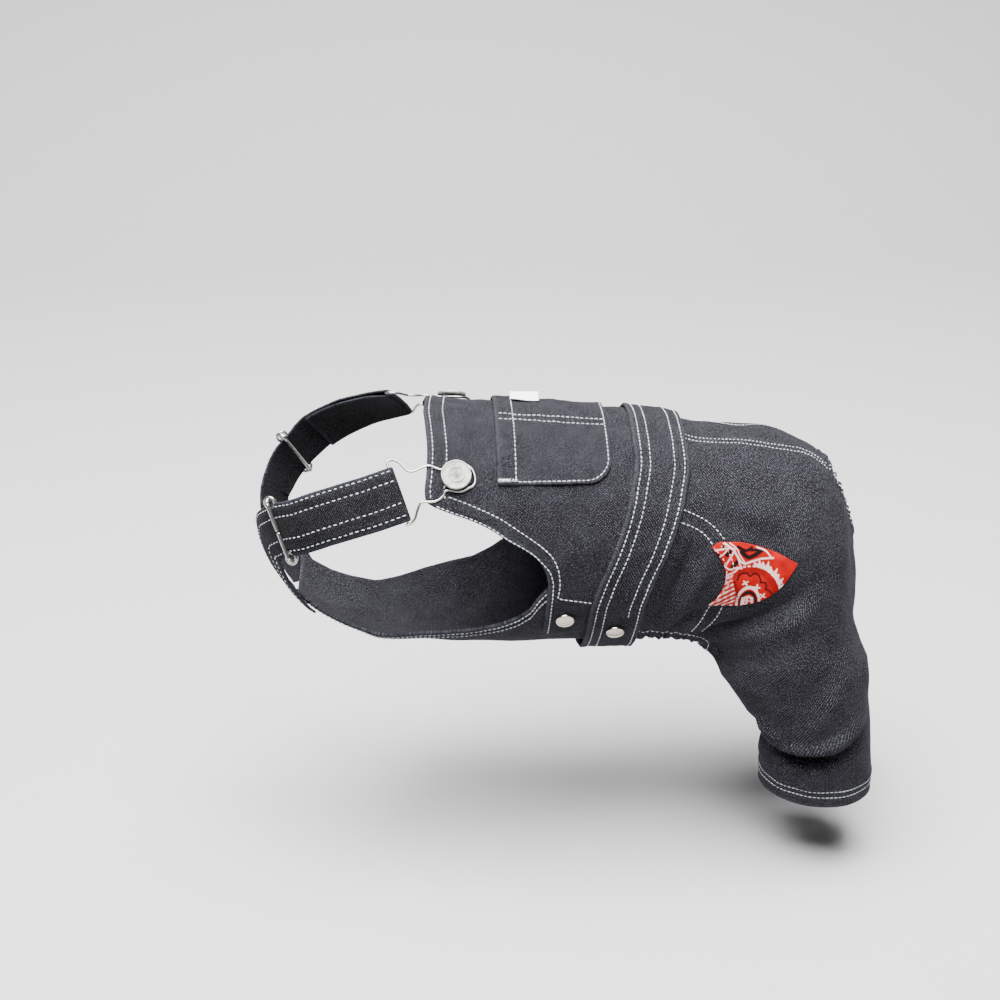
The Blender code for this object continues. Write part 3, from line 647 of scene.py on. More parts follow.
# Materials
class Look:
    """A material's nodes, with short ways to make and join them."""

    def __init__(self, name):
        self.material = bpy.data.materials.new(name)
        self.material.use_nodes = True
        self.nodes, self.links = self.material.node_tree.nodes, self.material.node_tree.links
        self.shader = self.nodes["Principled BSDF"]

    def join(self, value, socket):
        if isinstance(value, tuple):
            socket.default_value = (*value, 1.0)
        elif isinstance(value, (int, float)):
            socket.default_value = value
        else:
            self.links.new(value, socket)

    def node(self, kind, **values):
        node = self.nodes.new("ShaderNode" + kind)
        for name, value in values.items():
            self.join(value, node.inputs[name.replace("_", " ")])
        return node

    def maths(self, kind, *values):
        node = self.node("Math")
        node.operation = kind
        for i, value in enumerate(values):
            self.join(value, node.inputs[i])
        return node.outputs[0]

    def times(self, a, b):
        return self.maths("MULTIPLY", a, b)

    def times_plus(self, a, b, c):
        return self.maths("MULTIPLY_ADD", a, b, c)

    def mix(self, share, a, b, blend="MIX"):
        node = self.node("Mix")
        node.data_type = "RGBA"
        node.blend_type = blend
        for socket, value in ((node.inputs["Factor"], share), (node.inputs[6], a), (node.inputs[7], b)):
            self.join(value, socket)
        return node.outputs[2]

    def noise(self, vector, scale, detail=2.0, roughness=0.5):
        node = self.node("TexNoise", Vector=vector, Scale=scale, Detail=detail, Roughness=roughness)
        return node.outputs["Fac"]

    def between(self, value, low, high):
        """A smooth step from 0 at low to 1 at high."""
        node = self.node("MapRange")
        node.interpolation_type = "SMOOTHSTEP"
        for name, number in (("From Min", low), ("From Max", high), ("Value", value)):
            self.join(number, node.inputs[name])
        return node.outputs["Result"]

    def stretched(self, vector, y):
        """The coordinates with y scaled."""
        node = self.node("Mapping", Vector=vector)
        node.inputs["Scale"].default_value = (1.0, y, 1.0)
        return node.outputs["Vector"]

    def cloth_uv(self):
        node = self.node("UVMap")
        node.uv_map = "cloth"
        return node.outputs["UV"]

    def attribute(self, name):
        node = self.node("Attribute")
        node.attribute_name = name
        return node.outputs

    def surface(self, colour, roughness, height=None, strength=0.0, depth=0.0, **more):
        """Sets the shader, with a bump of a depth where there is a height, and gives the material."""
        self.join(colour, self.shader.inputs["Base Color"])
        self.join(roughness, self.shader.inputs["Roughness"])
        for name, value in more.items():
            self.join(value, self.shader.inputs[name.replace("_", " ")])
        if height is not None:
            bump = self.node("Bump", Strength=strength, Distance=depth, Height=height)
            self.links.new(bump.outputs["Normal"], self.shader.inputs["Normal"])
        return self.material


def denim_material(name, dark, light, speck, worn):
    """Dark twill with pale weft dots between its ribs, yarn streaks, washed patches and worn edges."""
    look = Look(name)
    uv = look.cloth_uv()
    u, v, _ = look.node("SeparateXYZ", Vector=uv).outputs
    wobble = look.times(look.noise(uv, 300.0), 0.00026)
    across = look.maths("ADD", look.times(look.maths("ADD", u, v), math.sqrt(0.5)), wobble)
    along = look.times(look.maths("SUBTRACT", u, v), math.sqrt(0.5))
    turned_uv = look.node("CombineXYZ", X=across, Y=along).outputs[0]
    rib = look.times_plus(look.maths("SINE", look.times(across, 2 * math.pi / TWILL_PITCH)), 0.5, 0.5)
    valley = look.maths("POWER", look.maths("SUBTRACT", 1.0, rib), 1.4)
    dots = look.between(look.noise(look.stretched(turned_uv, 0.85), 1700.0, 1.5), 0.47, 0.60)
    fleck = look.times(look.times_plus(valley, 0.85, 0.15), dots)
    rare = look.between(look.noise(turned_uv, 1400.0, 1.0), 0.60, 0.67)
    rare = look.times(rare, look.times_plus(valley, 0.75, 0.25))
    streak = look.noise(look.stretched(uv, 0.05), 900.0, 3.0)
    washed = look.between(look.noise(uv, 75.0, 5.0, 0.65), 0.36, 0.68)
    tone = look.times_plus(streak, 0.45, look.times(washed, 0.42))
    tone = look.maths("ADD", tone, look.times(valley, 0.38))
    base = look.mix(look.between(tone, 0.1, 1.05), dark, light)
    share = look.times_plus(fleck, 0.40, look.times(rare, 0.60))
    speckled = look.mix(look.maths("MINIMUM", share, 1.0), base, speck)
    broken = look.between(look.noise(uv, 700.0, 3.0, 0.7), 0.30, 0.62)
    rubbed = look.times(look.attribute("wear")["Fac"], broken)
    return look.surface(
        look.mix(look.times(rubbed, 0.55), speckled, worn), 0.92,
        look.times_plus(rib, 0.7, look.times(fleck, 0.3)), 0.55, 0.00022,
        Specular_IOR_Level=0.06, Sheen_Weight=0.025, Sheen_Roughness=0.45, Sheen_Tint=(0.66, 0.66, 0.78),
    )


def thread_material(name, colour, darker):
    look = Look(name)
    island = look.node("NewGeometry").outputs["Random Per Island"]
    return look.surface(look.mix(island, colour, darker), 0.75, Sheen_Weight=0.2)


def metal_material(name, colour, roughness, grain, depth, dirt, milled=0):
    """Plated metal with fine scratches, slight dulling and darker patches at random."""
    look = Look(name)
    place = look.node("TexCoord").outputs["Object"]
    cloud = look.noise(place, 320.0, 4.0, 0.6)
    height = look.noise(place, grain, 3.0, 0.6)
    if milled:
        x, y, _ = look.node("SeparateXYZ", Vector=place).outputs
        turn = look.maths("ARCTAN2", y, x)
        height = look.times_plus(look.maths("SINE", look.times(turn, float(milled))), 0.5, height)
    tone = look.mix(look.between(cloud, 0.42, 0.72), colour, tuple(c * dirt for c in colour))
    rough = look.times_plus(cloud, 0.22, roughness - 0.11)
    return look.surface(tone, rough, height, 0.5, depth, Metallic=1.0)


def label_material():
    look = Look("label_tape")
    weave = look.noise(look.stretched(look.cloth_uv(), 4.0), 900.0)
    tone = look.mix(weave, (0.70, 0.71, 0.72), (0.86, 0.87, 0.88))
    return look.surface(tone, 0.7, weave, 0.3, 0.0001, Sheen_Weight=0.2)


def print_material():
    """Printed cotton: the print is worked out on the patch's points, with a plain weave over it."""
    look = Look("bandana_print")
    uv = look.cloth_uv()
    fade = look.between(look.noise(uv, 420.0, 4.0, 0.65), 0.35, 0.8)
    weave = look.noise(uv, 2200.0)
    tone = look.mix(fade, look.attribute("print")["Color"], (0.86, 0.80, 0.78), "MULTIPLY")
    tone = look.mix(0.12, tone, weave, "OVERLAY")
    return look.surface(tone, 0.85, weave, 0.4, 0.00012, Specular_IOR_Level=0.08, Sheen_Weight=0.02)


# Cloth pieces
def body_line(rows, side):
    """A line on the body from rows of x in mm and angle; on the right it mirrors about the bib's middle."""
    rows = spline(rows, 80)
    x, angle = rows[:, 0] * MM, rows[:, 1]
    return on_body(x, angle if side > 0 else 2 * twist(x) - angle)


def side_line(rows, side, reach, count):
    """A line beside the trousers from rows of x and z in mm, for laying on their outer side."""
    x, z = spline(rows, count).T * MM
    return np.stack([x, np.full(count, -side * reach), z], -1), np.tile(np.array([0, -side, 0.0]), (count, 1))


def grooves(points, lines, width=0.0007, depth=STITCH_GROOVE):
    """How deep the cloth is drawn in along its stitch lines, and how rubbed it is beside them."""
    near = np.min([far_from(points, spread(0.0006, line)[0]) for line, *_ in lines], axis=0)
    pucker = 0.5 + 0.5 * np.abs(ripple(points, 0.006, 71))
    bulge = 0.00016 * pucker * bell(near - 0.0016, 0.0011)
    return bulge - depth * bell(near, width), 0.35 * bell(near, 0.0017) * pucker


def hem_step(near, width, rise):
    """The extra height of a turned hem at a distance from its edge."""
    return rise * (1 - smooth(width, width + 0.0009, near))


def bib_point(angle, share):
    """Places on the bib, from its front edge (share 0) to under the waistband (share 1)."""
    front = bib_edge(angle)
    x = front
    for _ in range(4):
        back = band_middle(angle + twist(x)) - BAND_WIDTH / 2 + BAND_TUCK
        x = front + (back - front) * share
    return x, angle + twist(x)


def bib_lines():
    """The bib's stitch lines: along each armhole and placket, then across its front hem."""
    lines = []
    for side in (1, -1):
        edge = [
            (bib_edge(a) / MM + behind, a + twist(bib_edge(a)) + below)
            for angles, behind, below in ARM_EDGE for a in angles
        ]
        lines += [body_line(rows, side) for rows in (ARM_INNER, edge, PLACKET_LINE)]
    for inset in BIB_HEM_LINES:
        a = np.linspace(-49.2, 49.2, 90)
        x = bib_edge(a) + inset
        lines.append(on_body(x, a + twist(x)))
    return lines


def make_bib():
    local, share = np.meshgrid(np.linspace(-FLAP_ARC, FLAP_ARC, 261), np.linspace(0, 1, 78))
    x, angle = bib_point(local, share)
    points, quads, uv = outer_surface(skin(x, angle), np.stack([-arc(local), x], -1))
    x, local = x.ravel(), local.ravel()
    lines = bib_lines()
    dip, rub = grooves(points, lines)
    front = x - bib_edge(local)
    across_front = np.abs(local) < BIB_FRONT_ARC
    hem = hem_step(np.where(across_front, front, 1.0), BIB_HEM, 0.00055)
    down = np.linspace(*ARM_HEM_ARC, 80)
    arm_angle = np.concatenate([down, -down])
    arm_x = bib_edge(arm_angle)
    arm = far_from(points, skin(arm_x, arm_angle + twist(arm_x)))
    hem = np.maximum(hem, hem_step(arm, ARM_HEM, 0.0005))
    flap = np.abs(local)
    hem = hem + 0.00045 * smooth(93, 95, flap) * (1 - smooth(118, 122, flap))
    soft = 0.00050 * ripple(points, 0.034, 5) + 0.00022 * ripple(points, 0.013, 6)
    slack = 0.0012 * ripple(points * np.array([1.0, 0.5, 0.7]), 0.026, 7)
    slack = slack * smooth(60, 85, flap) * smooth(-0.060, -0.048, x)
    lift = np.clip((soft + slack) * smooth(0.0, 0.006, front), -0.0006, 0.0009)
    thick = CLOTH + dip + hem * 0.8
    obj, tree = shell("bib_cloth", points, quads, uv, thick, denim, lift=lift, wear_more=rub)
    return obj, sew("bib_stitches", 11, tree, lines, white_thread)


def pocket_end(angle, half_arc):
    """How far the pocket's rounded end falls short of its full length at an angle."""
    bend = np.maximum(0.0, (np.abs(angle) - half_arc + POCKET_CORNER_ARC) / POCKET_CORNER_ARC)
    return POCKET_CORNER * (1 - np.sqrt(np.maximum(0.0, 1 - bend**2)))


def make_pocket():
    front = -BACK_LENGTH + POCKET_FROM_FRONT
    angles = POCKET_ARC * np.sin(math.pi / 2 * np.linspace(-1, 1, 150))
    local, share = np.meshgrid(angles, np.linspace(0, 1, 60))
    back = front + POCKET_LENGTH - pocket_end(local, POCKET_ARC)
    x = front + (back - front) * share
    base = skin(x, local + twist(x), CLOTH + LAYER_GAP)
    points, quads, uv = outer_surface(base, np.stack([-arc(local), x], -1))
    x, local = x.ravel(), local.ravel()

    def at(px, a):
        return on_body(px, a + twist(px), 2 * CLOTH)

    a = np.linspace(-POCKET_ARC + 1.6, POCKET_ARC - 1.6, 80)
    lines = [at(np.full_like(a, front + POCKET_MOUTH_LINE), a)]
    limit = POCKET_ARC - math.degrees(POCKET_INSET / (BODY_HEIGHT * 0.52))
    round_a = limit * np.sin(math.pi / 2 * (1 - np.linspace(0, 1, 160)))
    round_x = front + POCKET_LENGTH - POCKET_INSET - pocket_end(round_a, limit)
    run_x = np.concatenate([np.linspace(front + 0.002, round_x[0], 50), round_x])
    run_a = np.concatenate([np.full(50, limit), round_a])
    lines += [at(run_x, side * run_a) for side in (1, -1)]
    for first, last in POCKET_ROWS:
        px = np.linspace(front + 0.0012, front + POCKET_LENGTH - 0.0012, 60)
        lines.append(at(px, np.linspace(first, last, 60)))
    dip, rub = grooves(points, lines)
    hem = hem_step(x - front, POCKET_HEM, 0.0005)
    pouch = 0.0007 * (1 - smooth(0.0, 0.03, x - front)) * (1 - (np.abs(local) / POCKET_ARC) ** 4)
    pouch = pouch * np.abs(np.sin(np.radians(local) * 90 / 21))
    soft = 0.00035 * ripple(points, 0.024, 15) + 0.00018 * ripple(points, 0.010, 16)
    lift = np.clip(pouch + soft, -0.00025, 0.0012)
    thick = CLOTH * 0.85 + dip + hem
    obj, tree = shell("pocket_cloth", points, quads, uv, thick, denim, lift=lift, wear_more=rub)
    tacks = []
    for side in (1, -1):
        for k in range(9):
            px = front + np.array([-0.0002, 0.0003]) + k * 0.00062
            tacks.append((*at(px, side * np.array([limit - 1.3, limit + 0.6])), BAR_TACK))
        px = np.linspace(front - 0.0001, front + 0.0098, 20)
        tacks.append((*at(px, np.full_like(px, side * (limit - 0.4))), TACK_COVER))
    return obj, sew("pocket_stitches", 12, tree, lines + tacks, white_thread)


def make_label():
    front = -BACK_LENGTH + POCKET_FROM_FRONT + LABEL_LENGTH * 0.35
    along, row = np.meshgrid(np.linspace(0, 1, 22), np.linspace(0, 1, 12))
    local = -LABEL_ANGLE - row * LABEL_TURN
    x = front + LABEL_LENGTH * (0.1 + 0.76 * along)
    base = skin(x, local + twist(x), 2 * (CLOTH + LAYER_GAP))
    points, quads, uv = outer_surface(base, np.stack([x, arc(local)], -1))
    lift = 0.0004 + 0.0002 * ripple(points, 0.012, 21) + 0.0027 * row.ravel() ** 1.4
    return shell("label_cloth_piece", points, quads, uv, LABEL_THICKNESS, label_tape, lift=lift)[0]


def make_band():
    angle, place = np.meshgrid(np.linspace(0, 360, 361)[:-1], np.linspace(-0.5, 0.5, 44))
    x = band_middle(angle) + BAND_WIDTH * place
    u, v = np.meshgrid(-arc(np.linspace(0, 360, 361)), BAND_WIDTH * place[:, 0])
    points, quads, uv = outer_surface(skin(x, angle, CLOTH + LAYER_GAP), np.stack([u, v], -1), ring=True)
    lines = []
    for side in (1, -1):
        for offset, last in BAND_LINES:
            a = twist(0.0) + side * np.linspace(0, last, 240)
            lines.append(on_body(band_middle(a) + offset * MM, a, 2 * CLOTH))
    dip, rub = grooves(points, lines)
    soft = 0.00025 * ripple(points, 0.022, 31) + 0.00012 * ripple(points, 0.009, 32)
    thick = CLOTH + dip + 0.0004 * smooth(0.40, 0.47, np.abs(place.ravel()))
    lift = np.clip(soft, -0.0003, 0.0004)
    obj, tree = shell("waistband_cloth", points, quads, uv, thick, denim, lift=lift, wear_more=rub)
    return obj, sew("waistband_stitches", 13, tree, lines, white_thread)


def section(place, table, depth, breadth):
    """A section's middle, half depth, half width, the table's last column and the way to its back."""
    back_x, back_z, front_x, front_z, width, last = (curve(place, table, i) for i in range(1, 7))
    flat = np.zeros_like(back_x)
    back = np.stack([back_x * SEAT_LENGTH, flat, back_z * depth], -1)
    front = np.stack([front_x * SEAT_LENGTH, flat, front_z * depth], -1)
    half = (back - front) / 2
    length = np.linalg.norm(half, axis=-1)
    return (back + front) / 2, length, width * breadth / 2, last, half / length[..., None]


def seat_section(place):
    return section(place, SEAT, SEAT_DROP, BODY_WIDTH)


def seat_share(place, distance):
    """The share of the way round the seat that a distance along the cloth is."""
    _, _, width, end, _ = seat_section(place)
    return distance / (width * np.radians(end))


def tail_gap(place):
    """The tail opening's half width."""
    middle = sum(TAIL_ROWS) / 2
    reach = (place - middle) / (TAIL_ROWS[1] - middle)
    return TAIL_HOLE_WIDTH / 2 * np.sqrt(np.maximum(0.0, 1 - reach**2))


def tail_angle(place):
    return np.degrees(np.arcsin(np.minimum(1.0, tail_gap(place) / seat_section(place)[2])))


def seat_points(place, share, side):
    """Points of the seat, from the centre back seam (share 0) to the belly edge (share 1)."""
    centre, height, width, end, upward = seat_section(place)
    start = tail_angle(place)
    turn = np.radians(start + (end - start) * share)
    point = centre + upward * (height * np.cos(turn))[..., None]
    point[..., 1] = -side * width * np.sin(turn)
    near = np.clip(1.7 - place, 0, 1)
    top, low, flank = (body(point[..., 0], turned) for turned in (0, 180, -90))
    rise = (2 * point[..., 2] - top[..., 2] - low[..., 2]) / (top[..., 2] - low[..., 2])
    round_body = np.degrees(np.arctan2(-point[..., 1] / flank[..., 1], rise))
    share_of_body = (near**2 * (3 - 2 * near))[..., None]
    return point * (1 - share_of_body) + body(point[..., 0], round_body) * share_of_body


def far_leg_shift(z):
    """How much further back the far leg is at a height."""
    low = np.maximum(0.0, (-z / LEG_DROP - 0.6) / 0.4)
    return FAR_LEG_BACK * np.minimum(1.0, low * 1.6) ** 1.5


def leg_points(place, turn_share, side):
    """Points of a leg; share 0 to 1 runs round the outside, 1 to 2 round the inside."""
    centre, depth, width, spacing, backward = section(np.maximum(place, THIGH), LEGS, LEG_DROP, LEG_WIDTH)
    outer = 360 - INNER_ARC
    start = -(180 - INNER_ARC) / 2
    outside = turn_share <= 1
    angle = start + np.where(outside, outer * turn_share, outer + INNER_ARC * (turn_share - 1))
    turn = np.radians(angle)
    point = centre + backward * (depth * np.cos(turn))[..., None]
    point[..., 1] = -side * (spacing * LEG_SPACING / 2 + width * np.sin(turn))
    blend = (np.clip(place - CROTCH, 0, 1) ** 0.8)[..., None]
    crotch = np.full_like(place, CROTCH)
    middle, height, _, _, upward = seat_section(crotch)
    inside = middle + upward * (height * (2 * (turn_share - 1) - 1))[..., None]
    above = np.where(outside[..., None], seat_points(crotch, np.minimum(turn_share, 1.0), side), inside)
    point = above * (1 - blend) + point * blend
    if side < 0:
        point[..., 0] += far_leg_shift(point[..., 2])
    return point


def crease_height(points):
    """Height of the folds at points of either side."""
    total = np.zeros(len(points))
    shift = np.where(points[:, 1] > 0, far_leg_shift(points[:, 2]), 0)
    flat = np.stack([points[:, 0] - shift, points[:, 2]], -1)
    for fold in FOLDS:
        rows = spline(fold, 50)
        gap = np.linalg.norm(flat[:, None, :] - rows[None, :, :2] * MM, axis=-1)
        best = gap.argmin(1)
        near = gap[np.arange(len(flat)), best]
        at_end = np.where((best == 0) | (best == 49), np.exp(-near / 0.004), 1)
        total += rows[best, 3] * MM * bell(near, rows[best, 2] * MM) * at_end
    return total * smooth(0.012, 0.034, np.abs(points[:, 1]))


def seat_line(place, share, side, options):
    """A stitch line on the seat: its points, directions away from the body's middle, and options."""
    line = seat_points(place, share, side)
    middle = np.stack([line[:, 0] * 0.55 + 0.012, 0 * line[:, 1], 0 * line[:, 2] - 0.066], -1)
    return line, unit(line - middle), options


def trousers_lines():
    """The trousers' stitch lines: front pockets and seams, back seam, tail opening, belly edge and cuffs."""
    low, high = TAIL_ROWS
    lines = []
    for side in (1, -1):
        lines += [side_line(rows, side, 0.064, 40) for rows in FRONT_POCKET]
        lines += [side_line(rows, side, 0.060, 40) for rows in FRONT_SEAM]
        for offset in BACK_SEAM_LINES:
            place = np.linspace(0.55, low + 0.25, 90)
            wide = BACK_SEAM_AWAY + offset - 0.0048 * smooth(2.2, low, place)
            wide = np.maximum(wide, tail_gap(place) + 0.0022 + offset)
            share = seat_share(place, wide) - tail_angle(place) / seat_section(place)[3]
            lines.append(seat_line(place, share, side, BACK_SEAM))
        place = np.linspace(low + 0.15, high - 0.1, 40)
        lines.append(seat_line(place, seat_share(place, 0.0036), side, TAIL_EDGE))
        place = np.linspace(0.45, CROTCH - 0.05, 150)
        share = 1 - seat_share(place, BELLY_LINE_INSET)
        lines.append(seat_line(place, share, side, BELLY_EDGE))
        for lower in CUFF_LINES:
            line = leg_points(np.full(220, HEM - lower / CUFF_HEM), np.linspace(0, 2, 220), side)
            lines.append((line, unit((line - line.mean(0)) * np.array([1, 1, 0.0])), CUFF))
    return lines


def trousers_surface():
    """The trousers before their folds, and each point's place, share and side."""
    low, high = TAIL_ROWS
    beside_tail = low + (high - low) * (1 - np.cos(np.linspace(0, math.pi, 32))) / 2
    seat_rows = np.concatenate([
        np.linspace(0, low, 62)[:-1], beside_tail, np.linspace(high, CROTCH, 26)[1:],
    ])
    t = np.linspace(0, 1, 86)
    seat_shares = 0.6 * t + 0.4 * (1 - np.cos(math.pi * t)) / 2
    leg_shares = np.concatenate([seat_shares, 1 + np.linspace(0, 1, 34)[1:]])
    mid = len(seat_shares) // 2
    pieces, facts = [], []
    for side in (1, -1):
        start = 0.0
        for rows, shares, points_of in (
            (seat_rows, seat_shares, seat_points),
            (np.linspace(CROTCH, HEM, 62), leg_shares, leg_points),
        ):
            place, share = np.meshgrid(rows, shares, indexing="ij")
            grid = points_of(place, share, side)
            across = lengths(grid, 1)
            down = start + lengths(grid[:, mid])
            start = down[-1]
            uv = np.stack([-side * (across - across[:, mid:mid + 1]), down[:, None] + 0 * across], -1)
            points, quads, uv = grid_surface(grid, uv)
            if side > 0:
                quads, uv = quads[:, ::-1], uv[:, ::-1]
            pieces.append((points, quads, uv))
            facts.append(np.stack([place.ravel(), share.ravel(), np.full(place.size, side)], -1))
    points, quads, uv, first = weld(pieces)
    return points, *turn_outward(points, quads, uv), np.concatenate(facts)[first].T


def make_trousers():
    flat, quads, uv, (place, share, side) = trousers_surface()
    ends = np.unique(open_edges(quads))
    waist = ends[place[ends] < 0.01]
    cuffs = ends[place[ends] > HEM - 0.01]
    tail = ends[(share[ends] < 0.01) & (place[ends] > 1)]
    belly = ends[(share[ends] > 0.99) & (place[ends] > 0.3) & (place[ends] < CROTCH + 0.1)]
    near_belly, near_tail = far_from(flat, flat[belly]), far_from(flat, flat[tail])
    folds = crease_height(flat)
    calm = 1 - 0.8 * bell(far_from(flat, flat[waist]), 0.009)
    soft = 0.0006 * ripple(flat, 0.040, 41) + 0.0003 * ripple(flat, 0.016, 42)
    along = place * 0.0165 + side * 0.0007
    gather = 0.0015 * np.sin(2 * math.pi * along / GATHER_PITCH + 1.6 * np.sin(place * 5.1))
    gather = gather * (0.65 + 0.35 * np.sin(place * 9.7 + 1)) * bell(near_belly, 0.0095, 1.5)
    tail_gather = 0.0012 * np.sin(2 * math.pi * place * 0.023 / TAIL_GATHER_PITCH)
    tail_gather = tail_gather * bell(near_tail, 0.0075, 1.5)
    crotch_line = bell(place - CROTCH, 0.35) * (share > 1)
    move = (folds + soft) * calm * (1 - crotch_line) + gather + tail_gather
    back_seam = (np.abs(flat[:, 1]) < 1e-5) & (share < 0.01)
    move = np.where(back_seam, np.clip(soft, -0.0004, 0.0004) * calm, move)
    points = flat + normals(flat, quads) * np.clip(move, -CREASE_LIMIT, CREASE_LIMIT)[:, None]
    lines = trousers_lines()
    dip, rub = grooves(flat, lines)
    cuff_hem = 0.0006 * (1 - smooth(CUFF_HEM, CUFF_HEM + 0.0012, far_from(flat, flat[cuffs])))
    casing = 0.0005 * (1 - smooth(CASING, CASING + 0.0010, np.minimum(near_belly, near_tail)))
    obj, tree = shell(
        "trousers_cloth", points, quads, uv, CLOTH + dip + cuff_hem + casing, denim,
        wear_from=points[np.unique(np.concatenate([cuffs, tail, belly]))],
        wear_more=rub + 0.16 * np.clip(folds / 0.002, 0, 1),
    )
    return obj, sew("trousers_stitches", 14, tree, lines, white_thread), tree


# The print on the hip patches
def paint(colour, mask, ink):
    mask = np.clip(mask, 0, 1)[..., None]
    return colour * (1 - mask) + np.array(INKS[ink]) * mask


def within(value, low, high, rise, fall):
    """1 between low and high, with soft edges."""
    return smooth(low, low + rise, value) * (1 - smooth(high, high + fall, value))


def stroke(x, z, rows, width, soft=0.22):
    """How much of a point lies on a line through rows of x and z."""
    gap = np.full(x.shape, 99.0)
    for a, b in spline(rows, 70):
        gap = np.minimum(gap, np.hypot(x - a, z - b))
    return 1 - smooth(width / 2 - soft / 2, width / 2 + soft / 2, gap)


def taper(x, z, start, stop, width):
    """A leaf from a broad start to a point."""
    run = np.array(stop) - np.array(start)
    length = np.hypot(*run)
    along = ((x - start[0]) * run[0] + (z - start[1]) * run[1]) / length**2
    off = np.abs((x - start[0]) * run[1] - (z - start[1]) * run[0]) / length
    half = width * np.clip(1 - along, 0, 1) ** 0.8
    return (1 - smooth(-0.12, 0.12, off - half)) * (along > -0.1) * (along < 1.0)


def paint_rays(colour, x, z):
    """A quarter wheel of leaves round a ring."""
    cx, cz = RAY_CENTRE
    radius, turn = np.hypot(x - cx, z - cz), np.degrees(np.arctan2(cz - z, x - cx))
    band = within(radius, 12.0, 15.4, 0.8, 0.5) * (turn > -10) * (turn < 118)
    colour = paint(colour, band * 0.6, "deep")
    ring = within(radius, 15.8, 17.0, 0.3, 0.3) * (turn > -6) * (turn < 76)
    colour = paint(colour, ring, "white")
    dashes = within(radius, 15.9, 16.7, 0.2, 0.2) * (turn >= 76) * (turn < 116) * ((turn % 9) < 5.5)
    colour = paint(colour, dashes, "white")

    def at(reach, angle):
        return cx + reach * math.cos(math.radians(angle)), cz - reach * math.sin(math.radians(angle))

    for angle, size in RAYS:
        start = at(16.6, angle)
        colour = paint(colour, taper(x, z, start, at(17.2 + size, angle + 5), 1.15), "white")
        colour = paint(colour, taper(x, z, start, at(17.0 + size * 0.6, angle - 3), 0.8), "white")
    return colour


def paint_arch(colour, x, z):
    """Three nested arches with bars and rungs inside."""
    cx, cz = ARCH_PLACE
    arch = np.hypot((x - cx) / ARCH_HALF_WIDTH, (z - cz) / ARCH_HEIGHT)
    arch = np.where(z < cz, arch, np.abs(x - cx) / ARCH_HALF_WIDTH)
    for middle, half, edge, ink in (
        (0.96, 0.075, 0.12, "white"), (0.66, 0.085, 0.125, "black"), (0.36, 0.05, 0.09, "white"),
    ):
        colour = paint(colour, 1 - smooth(half, edge, np.abs(arch - middle)), ink)
    for shift in (-2.9, -0.4, 2.1):
        colour = paint(colour, stroke(x, z, ((20.5 + shift, 31.6), (20.2 + shift, 37.0)), 0.8), "white")
    for rung in (31.0, 33.2, 35.4):
        colour = paint(colour, stroke(x, z, ((17.4, rung), (22.8, rung - 0.3)), 0.5), "white")
    return colour


def paint_border(colour, x, z):
    """Slanting stripes down the front edge, with black ticks beside them."""
    edge = 12.6 + 1.2 * np.sin(z * 0.25)
    low_left = smooth(16.5, 17.5, z) * (1 - smooth(-0.2, 0.2, x - edge))
    stripes = np.abs(((x * 0.55 + z * 0.95) % 2.7) - 1.35)
    blocks = 0.35 + 0.65 * smooth(-0.2, 0.3, np.sin(x * 1.7 + 0.8 * np.sin(z * 0.9)))
    colour = paint(colour, low_left * (1 - smooth(0.45, 0.75, stripes)) * blocks, "white")
    beside = 1 - smooth(0.55, 0.85, np.abs(x - edge - 1.0))
    ticks = smooth(20.0, 20.8, z) * beside * (1 - smooth(0.25, 0.45, np.abs((z % 1.5) - 0.75)))
    return paint(colour, ticks, "black")


def paisley(x, z):
    """Ink on the patch, from mm back and mm down."""
    mottle = 0.5 + 0.5 * ripple(np.stack([x, z, 0 * x], -1) * MM, 0.005, 91)
    colour = np.array(INKS["red"]) * (0.80 + 0.25 * mottle[..., None])
    colour = paint_rays(colour, x, z)
    colour = paint(colour, stroke(x, z, SCALLOP, 0.85), "black")
    for sx, sz, lean in CROSSES:
        for cross in (0.75, -0.75):
            dx, dz = 1.5 * math.cos(lean + cross), 1.5 * math.sin(lean + cross)
            colour = paint(colour, stroke(x, z, ((sx - dx, sz - dz), (sx + dx, sz + dz)), 0.75), "white")
    colour = paint_border(paint_arch(colour, x, z), x, z)
    for ink, strokes in STROKES:
        for width, rows in strokes:
            colour = paint(colour, stroke(x, z, rows, width), ink)
    return colour


